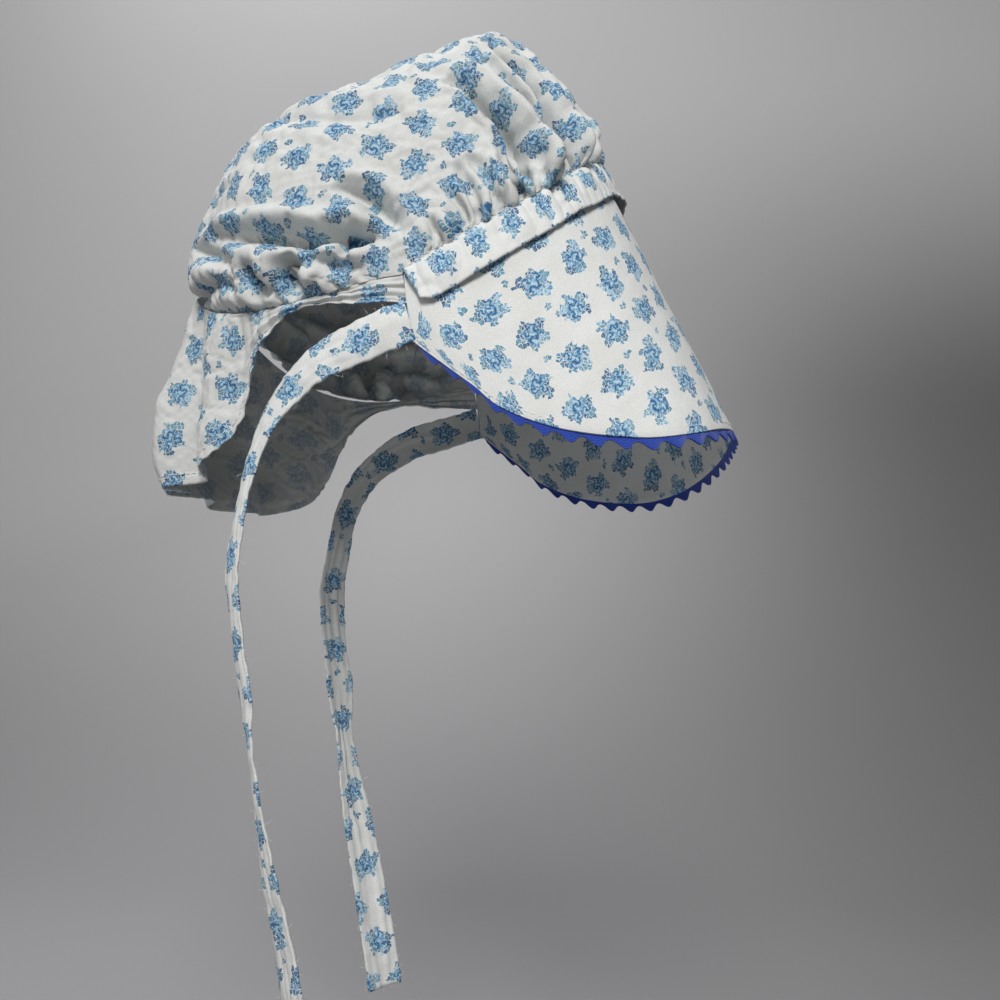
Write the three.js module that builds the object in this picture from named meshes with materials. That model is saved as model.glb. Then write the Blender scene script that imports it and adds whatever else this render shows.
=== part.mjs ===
// A sunbonnet of printed cotton, as it is worn. A stiff brim droops over the face, a full crown is
// gathered to it behind a standing frill, the nape is drawn in, and below it hangs a neck frill.
// Two long ties leave the lower corners of the brim and fall behind the shoulders.
// Millimetres, +Z up, the face towards +X and the wearer's right towards -Y.
// The origin is where the top of the head meets the inside of the crown.
import * as THREE from "three";

// The line through the two ear corners, where crown, brim and ties meet, is the hinge that all
// the arches of crown and brim fan out from.
const EAR_HALF_WIDTH = 95;
const EAR_BEHIND_ORIGIN = 38;
const EAR_BELOW_ORIGIN = 178;

// Cloth and seams
const CLOTH = 1.2;
const BRIM_THICKNESS = 2.4;
const TRIM_THICKNESS = 1.2;
const SEAM_GAP = 0.4;
const CORNER_REACH = 7;

// Crown: the largest reach of its arches from the ear line, how far its sides puff out, and the
// gathers at the brim and at the nape
const CROWN_REACH = 170;
const CROWN_BULGE = 24;
const GATHER_COUNT = 26;
const GATHER_HEIGHT = 4;
const GATHER_AT_SEAM = 1;
const GATHER_RUN = 62;
const NAPE_GATHER_COUNT = 22;
const NAPE_GATHER_HEIGHT = 3.4;
const NAPE_GATHER_RUN = 34;

// Brim
const SEAM_REACH = 120;
const RIM_FLARE = 2;
const RIM_HALF_WIDTH = EAR_HALF_WIDTH + RIM_FLARE;
const RIM_FORWARD = 148;
const RIM_DROP = 76;
const CHEEK_SEAM = 31;

// Frill that stands in front of the crown's gathers
const FRILL_DEPTH = 20;
const FRILL_WAVE = 1.6;

// Neck frill
const NECK_FRILL_DEPTH = 108;
const NECK_FRILL_WAVE = 8;
const NECK_FRILL_FOLDS = 9;

// Ties
const TIE_WIDTH = 22;
const TIE_THICKNESS = 1.4;
const TIE_DROP = 323;
const TIE_BACK = 85;

// Rickrack along the rim
const RICKRACK_PITCH = 11.5;
const RICKRACK_POINT = 4.6;
const RICKRACK_BASE = 1;
const RICKRACK_FROM_CORNER = 8;

// The arches of the crown, from the seam over the top to the nape. Down is the share of the way
// along the crown. Middle and side are an arch's angles in degrees above the forward line through
// the ears, at the top of the head and beside the ears. Puff is how much of the way from
// SEAM_REACH to CROWN_REACH the arch rises, bulge is a share of CROWN_BULGE, and roundness is the
// power of the sine that carries an arch up from the ear.
const CROWN_ARCHES = [
  { down: 0.0, middle: 46, side: 33, puff: 0.0, bulge: 0.0, roundness: 1.0 },
  { down: 0.07, middle: 52.5, side: 43, puff: 0.25, bulge: 0.3, roundness: 1.0 },
  { down: 0.12, middle: 60.5, side: 54, puff: 0.56, bulge: 0.55, roundness: 1.0 },
  { down: 0.19, middle: 69, side: 67, puff: 0.82, bulge: 0.85, roundness: 1.02 },
  { down: 0.26, middle: 77, side: 78, puff: 1.0, bulge: 1.0, roundness: 1.04 },
  { down: 0.35, middle: 87, side: 90, puff: 0.78, bulge: 1.0, roundness: 1.05 },
  { down: 0.46, middle: 101, side: 106, puff: 0.53, bulge: 1.0, roundness: 1.05 },
  { down: 0.58, middle: 117, side: 124, puff: 0.66, bulge: 1.0, roundness: 1.05 },
  { down: 0.69, middle: 131, side: 141, puff: 0.68, bulge: 1.0, roundness: 1.05 },
  { down: 0.8, middle: 145, side: 161, puff: 0.56, bulge: 0.9, roundness: 1.0 },
  { down: 0.9, middle: 158, side: 180, puff: 0.47, bulge: 0.7, roundness: 1.0 },
  { down: 0.96, middle: 165, side: 187, puff: 0.38, bulge: 0.35, roundness: 1.0 },
  { down: 1.0, middle: 168, side: 190, puff: 0.15, bulge: 0.0, roundness: 1.05 },
];

// Folds and dents of the crown. Each runs between two places on it, given as the share of the way
// from the right ear over to the left one and as the share of the way down from the seam to the
// nape. Width and height are shares of GATHER_RUN and GATHER_HEIGHT; a negative height is a valley.
const CROWN_FOLDS = [
  { fromShare: 0.16, fromDown: 0.9, toShare: 0.22, toDown: 0.56, width: 0.16, height: -1.6 },
  { fromShare: 0.22, fromDown: 0.56, toShare: 0.26, toDown: 0.36, width: 0.15, height: -1.2 },
  { fromShare: 0.3, fromDown: 0.62, toShare: 0.38, toDown: 0.44, width: 0.2, height: -1.2 },
  { fromShare: 0.42, fromDown: 0.24, toShare: 0.33, toDown: 0.06, width: 0.15, height: 1.2 },
  { fromShare: 0.36, fromDown: 0.3, toShare: 0.29, toDown: 0.12, width: 0.15, height: -1.0 },
  { fromShare: 0.12, fromDown: 0.84, toShare: 0.08, toDown: 0.66, width: 0.13, height: -1.1 },
  { fromShare: 0.84, fromDown: 0.9, toShare: 0.79, toDown: 0.52, width: 0.16, height: -1.5 },
  { fromShare: 0.7, fromDown: 0.6, toShare: 0.63, toDown: 0.42, width: 0.2, height: -1.2 },
  { fromShare: 0.6, fromDown: 0.22, toShare: 0.68, toDown: 0.06, width: 0.15, height: 1.1 },
  { fromShare: 0.5, fromDown: 0.84, toShare: 0.56, toDown: 0.6, width: 0.18, height: -1.2 },
];

// Half of the rim of the brim, from an ear corner to the middle of the front. Around is the share
// of the whole rim; across, forward and down are shares of RIM_HALF_WIDTH, RIM_FORWARD and
// RIM_DROP, from the middle of the ear line.
const RIM = [
  { around: 0.0, across: 0.98, forward: 0.052, down: 0.44 },
  { around: 0.073, across: 1.0, forward: 0.214, down: 0.68 },
  { around: 0.112, across: 0.99, forward: 0.3, down: 0.82 },
  { around: 0.174, across: 0.97, forward: 0.473, down: 0.95 },
  { around: 0.25, across: 0.915, forward: 0.695, down: 1.0 },
  { around: 0.3, across: 0.82, forward: 0.83, down: 0.96 },
  { around: 0.353, across: 0.65, forward: 0.922, down: 0.89 },
  { around: 0.42, across: 0.36, forward: 0.985, down: 0.82 },
  { around: 0.5, across: 0.0, forward: 1.0, down: 0.795 },
];

// The neck frill's cut, from the right ear to the left one: its depth as a share of
// NECK_FRILL_DEPTH, and how far its belly stands out, as a share of that depth.
const NECK_FRILL_CUT = [
  { share: 0.0, depth: 0.08, lean: 0.0 },
  { share: 0.05, depth: 0.06, lean: 0.0 },
  { share: 0.09, depth: 0.04, lean: 0.0 },
  { share: 0.13, depth: 0.045, lean: 0.0 },
  { share: 0.16, depth: 0.09, lean: 0.0 },
  { share: 0.19, depth: 0.23, lean: -0.04 },
  { share: 0.22, depth: 0.49, lean: -0.05 },
  { share: 0.26, depth: 0.67, lean: -0.02 },
  { share: 0.31, depth: 0.8, lean: 0.06 },
  { share: 0.37, depth: 0.91, lean: 0.14 },
  { share: 0.43, depth: 0.975, lean: 0.17 },
  { share: 0.5, depth: 1.0, lean: 0.18 },
  { share: 0.57, depth: 0.97, lean: 0.16 },
  { share: 0.63, depth: 0.91, lean: 0.12 },
  { share: 0.69, depth: 0.8, lean: 0.05 },
  { share: 0.74, depth: 0.66, lean: -0.02 },
  { share: 0.78, depth: 0.48, lean: -0.05 },
  { share: 0.81, depth: 0.22, lean: -0.04 },
  { share: 0.84, depth: 0.09, lean: 0.0 },
  { share: 0.87, depth: 0.045, lean: 0.0 },
  { share: 0.91, depth: 0.04, lean: 0.0 },
  { share: 0.95, depth: 0.06, lean: 0.0 },
  { share: 1.0, depth: 0.08, lean: 0.0 },
];

// A tie's middle line from the cheek seam down. Inward, back and down are shares of
// EAR_HALF_WIDTH, TIE_BACK and TIE_DROP, from where the tie is sewn on. Wide is the share of
// TIE_WIDTH, and face is the angle in degrees that the flat of the tie has turned from the side
// towards the back.
const TIE_LINE = [
  { inward: 0.0, back: 0.0, down: 0.0, wide: 0.72, face: 0 },
  { inward: 0.01, back: 0.165, down: 0.0, wide: 0.74, face: 4 },
  { inward: 0.04, back: 0.312, down: 0.008, wide: 0.74, face: 12 },
  { inward: 0.08, back: 0.465, down: 0.025, wide: 0.72, face: 22 },
  { inward: 0.12, back: 0.63, down: 0.055, wide: 0.7, face: 34 },
  { inward: 0.17, back: 0.796, down: 0.102, wide: 0.7, face: 44 },
  { inward: 0.2, back: 0.912, down: 0.171, wide: 0.72, face: 50 },
  { inward: 0.22, back: 0.961, down: 0.242, wide: 0.72, face: 52 },
  { inward: 0.23, back: 1.0, down: 0.326, wide: 0.78, face: 52 },
  { inward: 0.24, back: 0.969, down: 0.423, wide: 0.74, face: 56 },
  { inward: 0.25, back: 0.916, down: 0.505, wide: 0.8, face: 50 },
  { inward: 0.26, back: 0.87, down: 0.585, wide: 0.76, face: 55 },
  { inward: 0.27, back: 0.807, down: 0.678, wide: 0.82, face: 52 },
  { inward: 0.28, back: 0.734, down: 0.768, wide: 0.8, face: 56 },
  { inward: 0.3, back: 0.63, down: 0.894, wide: 0.84, face: 54 },
  { inward: 0.32, back: 0.547, down: 1.0, wide: 0.9, face: 54 },
];

const radians = THREE.MathUtils.degToRad;
const mix = THREE.MathUtils.lerp;

// A point from how far it lies across, forward of and above the middle of the ear line.
function fromEars(across, forward, up) {
  return new THREE.Vector3(forward - EAR_BEHIND_ORIGIN, across, up - EAR_BELOW_ORIGIN);
}

// A smooth value of one column of a table at a place on its first column.
function smooth(table, key, column, at) {
  const last = table.length - 1;
  let row = 0;
  while (row < last - 1 && table[row + 1][key] < at) row += 1;
  const span = table[row + 1][key] - table[row][key];
  const t = THREE.MathUtils.clamp((at - table[row][key]) / span, 0, 1);
  const slope = (i) => {
    const a = table[Math.max(i - 1, 0)];
    const b = table[Math.min(i + 1, last)];
    return (b[column] - a[column]) / (b[key] - a[key]);
  };
  const from = table[row][column];
  const to = table[row + 1][column];
  const t2 = t * t;
  const t3 = t2 * t;
  return (
    from * (2 * t3 - 3 * t2 + 1) +
    slope(row) * span * (t3 - 2 * t2 + t) +
    to * (3 * t2 - 2 * t3) +
    slope(row + 1) * span * (t3 - t2)
  );
}

// An arch over the head from the right ear, at share 0, to the left ear, at share 1. Its angle
// goes from the side value at the ears to the middle value at the top, most of it near the top.
const ARCH_LEAN = 3;

function arch(share, middle, side, reach, halfWidth, bulge, roundness) {
  const turn = Math.PI * share;
  const height = Math.max(Math.sin(turn), 0);
  const rise = CORNER_REACH + (reach - CORNER_REACH) * Math.pow(height, roundness);
  const across = -(halfWidth + bulge * height) * Math.cos(turn);
  const angle = radians(mix(side, middle, Math.pow(height, ARCH_LEAN)));
  return fromEars(across, rise * Math.cos(angle), rise * Math.sin(angle));
}

// How far the crown lies outside the brim at their seam.
const SEAM_LIFT = BRIM_THICKNESS / 2 + SEAM_GAP + CLOTH / 2 + GATHER_AT_SEAM;
const LIFT_RUN = 0.2;

function crownBase(share, down) {
  const column = (name) => smooth(CROWN_ARCHES, "down", name, down);
  const lift = SEAM_LIFT * (1 - THREE.MathUtils.smoothstep(down, 0, LIFT_RUN));
  const reach = mix(SEAM_REACH, CROWN_REACH, column("puff")) + lift;
  const bulge = column("bulge") * CROWN_BULGE;
  const sides = EAR_HALF_WIDTH + lift;
  return arch(share, column("middle"), column("side"), reach, sides, bulge, column("roundness"));
}

// The seam's own arch, which the brim's back edge follows.
function seamArch(share) {
  const first = CROWN_ARCHES[0];
  return arch(share, first.middle, first.side, SEAM_REACH, EAR_HALF_WIDTH, 0, first.roundness);
}

// A gathered edge's wave from -1 to 1. Slow waves along the edge make its pleats uneven in width
// and in height.
function pleats(share, count, unevenness) {
  const slow = (waves, start) => Math.sin(2 * Math.PI * waves * share + start);
  const drift = unevenness * (slow(3.1, 0) + 0.6 * slow(7.3, 1));
  return Math.sin(2 * Math.PI * count * share + drift) * (0.8 + 0.2 * slow(4.7, 2));
}

// A gather's height at a distance from its edge: it swells over the first quarter of its run and
// dies out towards the run's end, and what it has at the stitches fades within a sixth of it.
const SWELL_IN = 1 / 4;
const STITCH_FADE = 1 / 6;
const DIE_OUT = 2.2;

function alongGathers(distance, run, height, atEdge) {
  const near = distance / run;
  const swell = Math.min(near / SWELL_IN, 1) * Math.exp(-near * near * DIE_OUT);
  return atEdge * Math.exp(-near / STITCH_FADE) + height * swell;
}

// The direction that a surface of two shares faces.
function facing(surface, u, v) {
  const step = 0.004;
  const along = surface(Math.min(u + step, 1), v).sub(surface(Math.max(u - step, 0), v));
  const down = surface(u, Math.min(v + step, 1)).sub(surface(u, Math.max(v - step, 0)));
  return along.cross(down).normalize();
}

// The shortest distance from a point to a fold's line over the crown.
const foldLines = CROWN_FOLDS.map((fold) => {
  const steps = 6;
  const points = [];
  for (let i = 0; i <= steps; i += 1) {
    const share = mix(fold.fromShare, fold.toShare, i / steps);
    points.push(crownBase(share, mix(fold.fromDown, fold.toDown, i / steps)));
  }
  return points;
});

function distanceTo(points, place) {
  let best = Infinity;
  const nearest = new THREE.Vector3();
  for (let i = 0; i + 1 < points.length; i += 1) {
    new THREE.Line3(points[i], points[i + 1]).closestPointToPoint(place, true, nearest);
    best = Math.min(best, nearest.distanceTo(place));
  }
  return best;
}

// Rows lie closer together at the gathered edges than in the middle of the crown, and beside the
// ears the gathers are flatter and run out over a shorter way.
const ROW_EASE = 0.45;
const RUN_AT_EAR = 0.25;
const FLAT_AT_EAR = 0.33;

function crownPoint(share, row) {
  const down = row - (ROW_EASE * Math.sin(2 * Math.PI * row)) / (2 * Math.PI);
  const base = crownBase(share, down);
  const toSeam = base.distanceTo(crownBase(share, 0));
  const toNape = base.distanceTo(crownBase(share, 1));
  const height = Math.sin(Math.PI * share);
  const run = mix(RUN_AT_EAR, 1, height);
  const gathers = alongGathers(toSeam, GATHER_RUN * run, GATHER_HEIGHT, GATHER_AT_SEAM);
  const nape = alongGathers(toNape, NAPE_GATHER_RUN * run, NAPE_GATHER_HEIGHT, GATHER_AT_SEAM);
  let out = pleats(share, GATHER_COUNT, 0.5) * gathers + pleats(share, NAPE_GATHER_COUNT, 0.7) * nape;
  CROWN_FOLDS.forEach((fold, i) => {
    const away = distanceTo(foldLines[i], base) / (fold.width * GATHER_RUN);
    out += fold.height * GATHER_HEIGHT * Math.exp(-away * away);
  });
  return base.addScaledVector(facing(crownBase, share, down), out * Math.min(height / FLAT_AT_EAR, 1));
}

// The brim's back edge: the cheek seam that carries the tie, then the arch of the crown seam.
const SEAM_ARC = Math.PI * Math.hypot(SEAM_REACH, EAR_HALF_WIDTH) * Math.SQRT1_2;
const CHEEK_SHARE = CHEEK_SEAM / (SEAM_ARC + 2 * CHEEK_SEAM);
const CHEEK_FORWARD = 0.17;

// The brim's lowest back corner, at the bottom of a cheek seam. Side is -1 for the wearer's right
// and 1 for the left.
function cheekCorner(side) {
  return fromEars(side * EAR_HALF_WIDTH, CHEEK_FORWARD * CHEEK_SEAM, -CHEEK_SEAM);
}

function brimBack(share) {
  const fromCheek = Math.min(share, 1 - share) / CHEEK_SHARE;
  const ear = seamArch(share < 0.5 ? 0 : 1);
  if (fromCheek >= 1) return seamArch((share - CHEEK_SHARE) / (1 - 2 * CHEEK_SHARE));
  return cheekCorner(Math.sign(ear.y)).lerp(ear, fromCheek);
}

// The rim starts this far from the cheek corner.
const CORNER_CUT = 2;

function rim(share) {
  const around = Math.min(share, 1 - share);
  const side = share < 0.5 ? -1 : 1;
  const place = fromEars(
    side * smooth(RIM, "around", "across", around) * RIM_HALF_WIDTH,
    smooth(RIM, "around", "forward", around) * RIM_FORWARD,
    -smooth(RIM, "around", "down", around) * RIM_DROP
  );
  const corner = cheekCorner(side).add(new THREE.Vector3(CORNER_CUT, 0, -CORNER_CUT / 2));
  return corner.lerp(place, THREE.MathUtils.smoothstep(around, 0, RIM[1].around));
}

function brimPoint(share, out) {
  return brimBack(share).lerp(rim(share), out);
}

// The standing frill: cloth of the crown that runs on past its gathers and lies over the brim. It
// narrows towards the ears, and its free edge stands off the brim.
const FRILL_END = 0.02;
const FRILL_AT_EAR = 0.4;
const FRILL_WIDENING = 4;
const FRILL_STAND = 0.6;

function frillPoint(share, out) {
  const seamShare = mix(FRILL_END, 1 - FRILL_END, share);
  const brimShare = mix(CHEEK_SHARE, 1 - CHEEK_SHARE, seamShare);
  const brimDepth = brimBack(brimShare).distanceTo(rim(brimShare));
  const depth = FRILL_DEPTH * Math.min(FRILL_AT_EAR + FRILL_WIDENING * Math.sin(Math.PI * seamShare), 1);
  const at = (SEAM_GAP + CLOTH + depth * out) / brimDepth;
  const wave = mix(GATHER_AT_SEAM, FRILL_WAVE, out);
  const lift = BRIM_THICKNESS / 2 + SEAM_GAP + CLOTH / 2 + wave + FRILL_STAND * FRILL_WAVE * out;
  const above = lift + wave * pleats(seamShare, GATHER_COUNT, 0.5);
  return brimPoint(brimShare, at).addScaledVector(facing(brimPoint, brimShare, at), -above);
}

// The neck frill hangs from the gathered nape. Its belly swings out and back in over this many
// radians of a sine, and swings out furthest well below the middle.
const BELLY_TURN = 2.7;
const BELLY_LATENESS = 1.5;

function neckFrillPoint(share, down) {
  const top = crownBase(share, 1);
  const outward = new THREE.Vector3(top.x + EAR_BEHIND_ORIGIN, top.y, 0).normalize();
  const depth = smooth(NECK_FRILL_CUT, "share", "depth", share) * NECK_FRILL_DEPTH;
  const lean = smooth(NECK_FRILL_CUT, "share", "lean", share) * depth;
  const waveHeight = NECK_FRILL_WAVE * (depth / NECK_FRILL_DEPTH) * Math.sqrt(down);
  const wave = pleats(share, NECK_FRILL_FOLDS, 0.6) * waveHeight;
  const drop = SEAM_GAP + CLOTH + depth * down;
  const belly = lean * Math.sin(BELLY_TURN * down ** BELLY_LATENESS);
  return top.addScaledVector(outward, belly + wave).add(new THREE.Vector3(0, 0, -drop));
}

// Rickrack caught in the rim, so that one row of its points stands out. It follows the straight
// stretches between the brim's own corners, so that the gap to the brim stays even.
const BRIM_COLUMNS = 44;
const brimCorners = [];
for (let i = 0; i <= BRIM_COLUMNS; i += 1) brimCorners.push(rim(i / BRIM_COLUMNS));

function along(corners, share) {
  const lengths = corners.slice(1).map((corner, i) => corner.distanceTo(corners[i]));
  let left = share * lengths.reduce((sum, length) => sum + length, 0);
  let i = 0;
  while (i < lengths.length - 1 && left > lengths[i]) {
    left -= lengths[i];
    i += 1;
  }
  return (i + Math.min(left / lengths[i], 1)) / lengths.length;
}

const rimLength = brimCorners.slice(1).reduce((sum, p, i) => sum + p.distanceTo(brimCorners[i]), 0);
const RICKRACK_COUNT = Math.max(4, Math.round(rimLength / RICKRACK_PITCH));

function rickrackPoint(share, out) {
  const skipped = RICKRACK_FROM_CORNER / rimLength;
  const at = along(brimCorners, mix(skipped, 1 - skipped, share)) * BRIM_COLUMNS;
  const i = Math.min(Math.floor(at), BRIM_COLUMNS - 1);
  const edge = brimCorners[i].clone().lerp(brimCorners[i + 1], at - i);
  const inner = brimPoint(i / BRIM_COLUMNS, 0.9).lerp(brimPoint((i + 1) / BRIM_COLUMNS, 0.9), at - i);
  const forward = edge.clone().sub(inner).normalize();
  const point = 0.5 - 0.5 * Math.cos(2 * Math.PI * RICKRACK_COUNT * share);
  const width = RICKRACK_BASE + RICKRACK_POINT * point;
  return edge.addScaledVector(forward, SEAM_GAP + width * out);
}

// A tie as a flat strip, sewn to the lower part of the cheek seam.
const TIE_ON_CHEEK_SEAM = 0.72;

function tiePoint(side, share, across) {
  const row = share * (TIE_LINE.length - 1);
  const table = TIE_LINE.map((line, i) => ({ ...line, at: i }));
  const ear = seamArch(side < 0 ? 0 : 1);
  const sewnOn = ear.lerp(cheekCorner(side), TIE_ON_CHEEK_SEAM);
  const place = (at) =>
    sewnOn.clone().add(
      new THREE.Vector3(
        -SEAM_GAP - smooth(table, "at", "back", at) * TIE_BACK,
        -side * smooth(table, "at", "inward", at) * EAR_HALF_WIDTH,
        -smooth(table, "at", "down", at) * TIE_DROP
      )
    );
  const middle = place(row);
  const tangent = place(Math.min(row + 0.1, table.length - 1)).sub(place(Math.max(row - 0.1, 0))).normalize();
  const face = radians(smooth(table, "at", "face", row));
  const normal = new THREE.Vector3(-Math.sin(face), side * Math.cos(face), 0);
  const widthWays = normal.cross(tangent).normalize();
  return middle.addScaledVector(widthWays, across * smooth(table, "at", "wide", row) * TIE_WIDTH);
}

// A closed wall of even thickness round a surface that pointAt gives on a grid of two shares.
function wall(pointAt, columns, rows, thickness) {
  const grid = [];
  for (let j = 0; j <= rows; j += 1) {
    for (let i = 0; i <= columns; i += 1) grid.push(pointAt(i / columns, j / rows));
  }
  const at = (i, j) => grid[j * (columns + 1) + i];
  const outer = [];
  const inner = [];
  for (let j = 0; j <= rows; j += 1) {
    for (let i = 0; i <= columns; i += 1) {
      const along = at(Math.min(i + 1, columns), j).clone().sub(at(Math.max(i - 1, 0), j));
      const down = at(i, Math.min(j + 1, rows)).clone().sub(at(i, Math.max(j - 1, 0)));
      const normal = along.cross(down).normalize();
      outer.push(at(i, j).clone().addScaledVector(normal, thickness / 2));
      inner.push(at(i, j).clone().addScaledVector(normal, -thickness / 2));
    }
  }
  const points = [...outer, ...inner];
  const side = outer.length;
  const faces = [];
  const quad = (a, b, c, d) => faces.push(a, b, c, a, c, d);
  const index = (i, j) => j * (columns + 1) + i;
  for (let j = 0; j < rows; j += 1) {
    for (let i = 0; i < columns; i += 1) {
      quad(index(i, j), index(i + 1, j), index(i + 1, j + 1), index(i, j + 1));
      quad(side + index(i, j), side + index(i, j + 1), side + index(i + 1, j + 1), side + index(i + 1, j));
    }
  }
  const edge = [];
  for (let i = 0; i < columns; i += 1) edge.push(index(i, 0));
  for (let j = 0; j < rows; j += 1) edge.push(index(columns, j));
  for (let i = columns; i > 0; i -= 1) edge.push(index(i, rows));
  for (let j = rows; j > 0; j -= 1) edge.push(index(0, j));
  edge.forEach((a, i) => {
    const b = edge[(i + 1) % edge.length];
    quad(b, a, side + a, side + b);
  });
  const geometry = new THREE.BufferGeometry().setFromPoints(points);
  geometry.setIndex(faces);
  return facingOut(geometry);
}

// Turns every face round if the closed mesh is inside out.
function facingOut(geometry) {
  const place = geometry.getAttribute("position");
  const index = geometry.getIndex().array;
  const corner = (i) => new THREE.Vector3().fromBufferAttribute(place, index[i]);
  let volume = 0;
  for (let i = 0; i < index.length; i += 3) {
    volume += corner(i).dot(corner(i + 1).cross(corner(i + 2)));
  }
  if (volume < 0) {
    for (let i = 0; i < index.length; i += 3) [index[i + 1], index[i + 2]] = [index[i + 2], index[i + 1]];
  }
  geometry.computeVertexNormals();
  return geometry;
}

// How finely the cloth is divided: a gather takes four columns.
const GATHER_COLUMNS = 4 * GATHER_COUNT;
const CROWN_ROWS = 13;
const BRIM_ROWS = 6;
const NECK_FRILL_COLUMNS = 72;
const TIE_STEPS = 30;

const printedCotton = new THREE.MeshStandardMaterial({ color: 0xe6e6e2, roughness: 0.9, metalness: 0 });
const blueBraid = new THREE.MeshStandardMaterial({ color: 0x1d45b4, roughness: 0.75, metalness: 0 });

const sunbonnet = new THREE.Group();

function add(name, geometry, material) {
  const mesh = new THREE.Mesh(geometry, material);
  mesh.name = name;
  sunbonnet.add(mesh);
}

add("brim", wall(brimPoint, BRIM_COLUMNS, BRIM_ROWS, BRIM_THICKNESS), printedCotton);
add("crown", wall(crownPoint, GATHER_COLUMNS, CROWN_ROWS, CLOTH), printedCotton);
add("crown_frill", wall(frillPoint, GATHER_COLUMNS, 2, CLOTH), printedCotton);
add("neck_frill", wall(neckFrillPoint, NECK_FRILL_COLUMNS, 4, CLOTH), printedCotton);
add("rickrack", wall(rickrackPoint, RICKRACK_COUNT * 4, 1, TRIM_THICKNESS), blueBraid);
function tie(side) {
  return wall((share, across) => tiePoint(side, share, across - 0.5), TIE_STEPS, 1, TIE_THICKNESS);
}

add("tie_right", tie(-1), printedCotton);
add("tie_left", tie(1), printedCotton);

export default sunbonnet;
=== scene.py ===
# %% [markdown]
# # A printed cotton sunbonnet
# A sunbonnet has a stiff brim, a full crown that is gathered to it, a short frill beyond the
# gathers, a neck frill, a blue rickrack edge and two long ties. Every piece of cloth here is first
# worked out as a grid of points on a smooth arch, and only then creased, gathered and given its
# thickness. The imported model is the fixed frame: it says where each piece goes, and each finished
# piece takes the place of its plain solid.

# %% Load the frame
import math

import bpy
import numpy as np
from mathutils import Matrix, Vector, noise


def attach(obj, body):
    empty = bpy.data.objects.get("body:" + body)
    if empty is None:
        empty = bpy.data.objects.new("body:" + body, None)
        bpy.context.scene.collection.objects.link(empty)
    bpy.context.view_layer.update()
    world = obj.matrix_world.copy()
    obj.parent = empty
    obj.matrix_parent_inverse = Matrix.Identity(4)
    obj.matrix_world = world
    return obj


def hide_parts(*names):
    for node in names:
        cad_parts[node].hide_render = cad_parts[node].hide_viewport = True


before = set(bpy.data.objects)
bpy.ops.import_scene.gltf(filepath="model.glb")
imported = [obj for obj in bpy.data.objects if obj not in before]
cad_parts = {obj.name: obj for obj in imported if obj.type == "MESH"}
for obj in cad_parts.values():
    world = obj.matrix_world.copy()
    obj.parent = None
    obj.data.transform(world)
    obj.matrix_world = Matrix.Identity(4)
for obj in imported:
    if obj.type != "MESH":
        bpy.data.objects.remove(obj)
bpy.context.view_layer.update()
scene = bpy.context.scene
print("nodes:", ", ".join(sorted(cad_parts)))

# %% [markdown]
# ## Camera, floor and light
# The camera stands a little lower than the ear and half a metre away, and looks slightly upwards.
# A lens of 36 mm on a 36 mm sensor gives the same wide view in a square picture. The floor curves
# up into a plain wall, so that no horizon line crosses the picture. The main lamp stands behind the
# camera, as a window would. Smaller ones to the left, above and behind soften its shadows, and one
# more washes the wall. The world only just fills the shade, so the inside of the bonnet stays dark.

# %% Camera
CAMERA_PLACE = Vector((0.0637, -0.5036, -0.346))
CAMERA_LOOKS = Vector((-0.1374, 0.9778, 0.1582))
LENS_AND_SENSOR = 36

camera_data = bpy.data.cameras.new("camera")
camera_data.lens = LENS_AND_SENSOR
camera_data.sensor_width = LENS_AND_SENSOR
camera_data.clip_start = 0.01
camera_data.clip_end = 50
camera = bpy.data.objects.new("camera", camera_data)
camera.location = CAMERA_PLACE
camera.rotation_euler = CAMERA_LOOKS.to_track_quat("-Z", "Y").to_euler()
scene.collection.objects.link(camera)
scene.camera = camera

# %% Floor and wall
FLOOR_HEIGHT = -0.62
WALL_BEHIND = 1.5
COVE_RADIUS = 0.8
STAGE_HALF_WIDTH = 4.0
WALL_TOP = 3.0
COVE_STEPS = 16


def link_mesh(name, points, faces):
    """A mesh object at the origin from points and faces."""
    mesh = bpy.data.meshes.new(name)
    mesh.from_pydata([tuple(p) for p in points], [], [tuple(f) for f in faces])
    mesh.update()
    made = bpy.data.objects.new(name, mesh)
    scene.collection.objects.link(made)
    return made


def stage_profile():
    """Points (y, z) of the floor, the cove and the wall."""
    profile = [(-STAGE_HALF_WIDTH, FLOOR_HEIGHT)]
    for step in range(COVE_STEPS + 1):
        turn = math.pi / 2 * step / COVE_STEPS
        y = WALL_BEHIND - COVE_RADIUS + COVE_RADIUS * math.sin(turn)
        z = FLOOR_HEIGHT + COVE_RADIUS * (1 - math.cos(turn))
        profile.append((y, z))
    profile.append((WALL_BEHIND, WALL_TOP))
    return profile


profile = stage_profile()
stage_points = [(side * STAGE_HALF_WIDTH, y, z) for y, z in profile for side in (-1, 1)]
stage_faces = [(2 * i, 2 * i + 1, 2 * i + 3, 2 * i + 2) for i in range(len(profile) - 1)]
stage = link_mesh("stage", stage_points, stage_faces)
for face in stage.data.polygons:
    face.use_smooth = True

# %% Light
WORLD_COLOUR = (0.86, 0.9, 1.0, 1)
WORLD_STRENGTH = 0.14
BONNET_MIDDLE = (0, 0, -0.15)
WALL_SPOT = (-0.7, 1.5, 0.3)

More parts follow.
